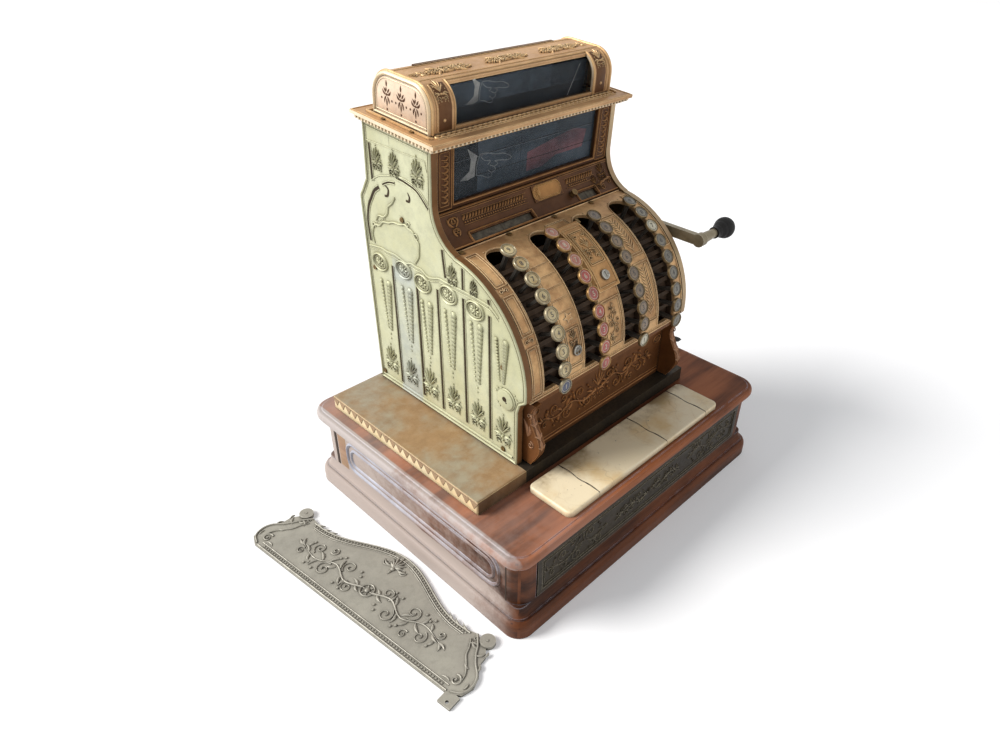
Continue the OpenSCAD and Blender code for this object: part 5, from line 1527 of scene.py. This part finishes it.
# ---------------------------------------------------------------------------
# Crank
# Worn nickel arm riveted to its boss on the crank shaft, which is geared to the main
# shaft. A tapered ferrule carries a black turned grip that spins on its pin.
crank_nickel = casting("crank nickel", (146, 136, 114), (212, 204, 184), (104, 92, 70), patch_scale=34.0,
                       rubbing=0.8, edge=0.0014, shine=0.34, metalness=0.55, dirt_reach=0.003)
grip_black = casting("black grip", (20, 19, 19), (58, 54, 50), (13, 12, 12), patch_scale=60.0, rubbing=0.3,
                     shine=0.5, specular=0.2, metalness=0.0, dirt_reach=0.002)
shaft_steel = casting("shaft steel", (150, 136, 104), (204, 196, 172), (110, 92, 62), shine=0.28, metalness=0.8)
dress(crank_nickel, "crank_arm")
dress(shaft_steel, "main_gear")
dress(grip_black, "crank_grip", "side_lever")
crank_eye = (182.0, 45, 344.5)
rivet = turned([(5.4, -0.2), (5.4, 1.2), (4.6, 2.4), (3.0, 3.2), (1.2, 3.5), (0.2, 3.5)], crank_eye, (1, 0, 0))
collar = turned([(9.2, -0.2), (9.2, 0.8), (8.4, 1.4), (5.8, 1.4)], crank_eye, (1, 0, 0))
cast("crank_rivet", [rivet, collar], "crank", crank_nickel)

# ---------------------------------------------------------------------------
# Screws, locks and the lid's ears
# Small steel and brass parts of the panels, drum, cornice and lid, let in with slotted
# heads, and the round locks of the drum's first strip and the left panel.
screw_brass = casting("screw brass", (128, 104, 66), (200, 172, 118), (84, 64, 42), patch_scale=80.0, rubbing=0.7,
                      metalness=0.6, dirt_reach=0.0015)
dress(screw_brass, "fasteners")
cast("strip_lock", lock(drum, -61.25, at(11), 6.6, 3.0), "base", lock_steel, groove_dark)
lock_u, lock_v = -65.2, 232.3
panel_lock = [turned_on(cabinet_left, lock_u, lock_v, [(14.5, -0.3), (14.5, 0.8), (13.6, 1.5), (12.8, 1.5),
                                                       (12.6, 2.7), (11.8, 3.1), (3, 3.1), (2.6, 2.6), (0.3, 2.6)],
                        32)]
# the key hole is two dark raised shapes: painted shade of the hole
panel_lock += laid([(*boss(circle(-64.5, 233.6, 3.6, 16), 3.5, 0.4), 1),
                    (*boss(circle(-67.5, 229.5, 1.4, 10), 3.4, 0.4), 1)], cabinet_left)
panel_lock += laid([button(lock_u + 18 * math.cos(a), lock_v + 18 * math.sin(a), 1.3, 1.2)
                    for a in (-0.9, -0.6, 0.3, 0.6, 2.4, 2.7)], cabinet_left)
cast("panel_lock", panel_lock, "base", panel_brass, groove_dark)

# ---------------------------------------------------------------------------
# Top sign
# Loose cast sign that stood on the hood's rail and lies on the floor: a dull grey plate
# with a beaded border, scrolled ends, a shell on its crest and one screw foot. Its field
# has plain scrollwork.
sign_grey = casting("sign casting", (168, 164, 152), (214, 210, 198), (150, 146, 136), (60, 54, 46),
                    patch_scale=14.0, tarnish_share=0.6, rubbing=0.8, edge=0.001, shine=0.44, metalness=0.2,
                    dirt_reach=0.0034, dirt_low=0.45, dirt_high=0.97)
dress(sign_grey, "top_sign")
SIGN_TURN = math.radians(-83.3)
SIGN_X, SIGN_Y, SIGN_FACE = -372, -13.7, 3.5
SIGN_LOW, SIGN_RISE, SIGN_WAVE = 74.5, 33.5, 124.56


def sign_face(u, v, h):
    """The sign's face as it lies on the floor: u along it, v towards its crest, h up."""
    c, s = math.cos(SIGN_TURN), math.sin(SIGN_TURN)
    return SIGN_X + u * c - v * s, SIGN_Y + u * s + v * c, SIGN_FACE + h


def sign_top(u):
    """Height of the sign's upper edge at a distance from the middle."""
    u = abs(u)
    return SIGN_LOW + SIGN_RISE * (0.5 + 0.5 * math.cos(math.pi * min(1, u / SIGN_WAVE)))


def along_top(inset, reach=140, n=60):
    """A line along the sign's upper edge, moved in."""
    p = np.array([(u, sign_top(u)) for u in np.linspace(-reach, reach, n)])
    d = np.gradient(p, axis=0)
    d /= np.linalg.norm(d, axis=1, keepdims=True)
    return p + np.stack([d[:, 1], -d[:, 0]], 1) * inset


sign_parts = [rib([(-168, 1.6), (168, 1.6)], 1.3, 1.4), rib([(-166, 8.2), (166, 8.2)], 0.9, 1.2),
              rib(along_top(1.6), 1.3, 1.4), rib(along_top(7.4, 134), 0.9, 1.2), rib(along_top(9.6, 132), 0.5, 0.7)]
for s in (-1, 1):
    side = [scroll(163.5, 77, 8.4, 250, 1.5, 1, (1.7, 1.3, 1.2), (2.2, 1.8, 2.6)), button(163.5, 77, 2.4, 3.2),
            rib(curve([(148, 77), (158, 66), (164, 56), (172, 46), (183, 36), (187.5, 24), (184, 10), (172, 3)],
                      5), (1.8, 1.4, 1.6, 1.2), (1.8, 1.6, 1.8)),
            rib(curve([(146, 68), (152, 58), (156, 48), (165, 38), (172, 28), (174, 18)], 5), (0.8, 1.4, 0.6),
                1.5), scroll(168, 17, 7.2, 120, 1.3, -1, (1.6, 1.2, 1.0), (1.7, 1.4, 1.8)),
            button(168, 17, 1.8, 2.2), scroll(151, 71, 3.6, 10, 1.0, 1), leaf(160, 62, 200, 13, 4.4, 1.7, -0.9),
            leaf(158, 66, 170, 12, 4, 1.6, 0.7), leaf(172, 62, -100, 13, 4.4, 1.7, -0.6),
            leaf(174, 66, -60, 9, 3.4, 1.5, -0.6), leaf(170, 36, 190, 11, 3.6, 1.6, -0.8),
            leaf(180, 40, 80, 10, 3.2, 1.5, 0.6), leaf(163, 12, 150, 12, 3.4, 1.5, 0.6),
            leaf(182, 14, 60, 9, 3, 1.4, 0.5), leaf(138, 72.5, 176, 15, 4.2, 1.9, -0.35),
            leaf(124, 72.5, 172, 13, 3.8, 1.8, -0.35), leaf(112, 74, 166, 12, 3.4, 1.7, -0.3)]
    sign_parts += moved(side, 0, 0, 0, 1, s)
shell = [leaf(0, 85, a, r, 4.8, 2.4) for a, r in ((90, 20), (68, 19), (112, 19), (46, 16), (134, 16), (24, 13),
                                                  (156, 13))]
shell += [scroll(s * 14, 87, 5.5, 90 - s * 90, 1.3, -s) for s in (-1, 1)] + [
    leaf(s * 6, 86, 270 + s * 60, 15, 4, 1.8, s * 0.8) for s in (-1, 1)]
shell += [button(0, 83, 3.4, 2.8), leaf(0, 82, -90, 9, 4, 1.8)]
sign_parts += shell
middle = moved(spray, 8, 40, 0, 1.18, 1, 1.35) + moved(spray, -8, 40, 180, 1.18, 1, 1.35)
middle += [rib(circle(0, 40, 9, 24), 1.3, 1.8, closed=True), button(0, 40, 4, 2.8)] + \
    [leaf(4 * math.cos(a), 40 + 4 * math.sin(a), math.degrees(a), 5, 3, 1.5) for a in np.arange(0, 6.2, math.pi / 3)]
sign_parts += middle
cast("sign_relief", laid(sign_parts, sign_face), "sign", sign_grey)
peas = [place_on(sign_face, u, 4.9, 0, (1.5, 1.3, 1.2)) for u in np.arange(-158, 160, 4.4)]
top = along_top(4.5, 136, 300)
run = np.concatenate([[0], np.cumsum(np.linalg.norm(np.diff(top, axis=0), axis=1))])
for s in np.arange(1, run[-1], 4.4):
    u, v = np.interp(s, run, top[:, 0]), np.interp(s, run, top[:, 1])
    if abs(u) > 15:
        peas.append(place_on(sign_face, u, v, 0, (1.5, 1.3, 1.2)))
set_row("sign_beads", bead_form, peas, sign_grey, "sign")
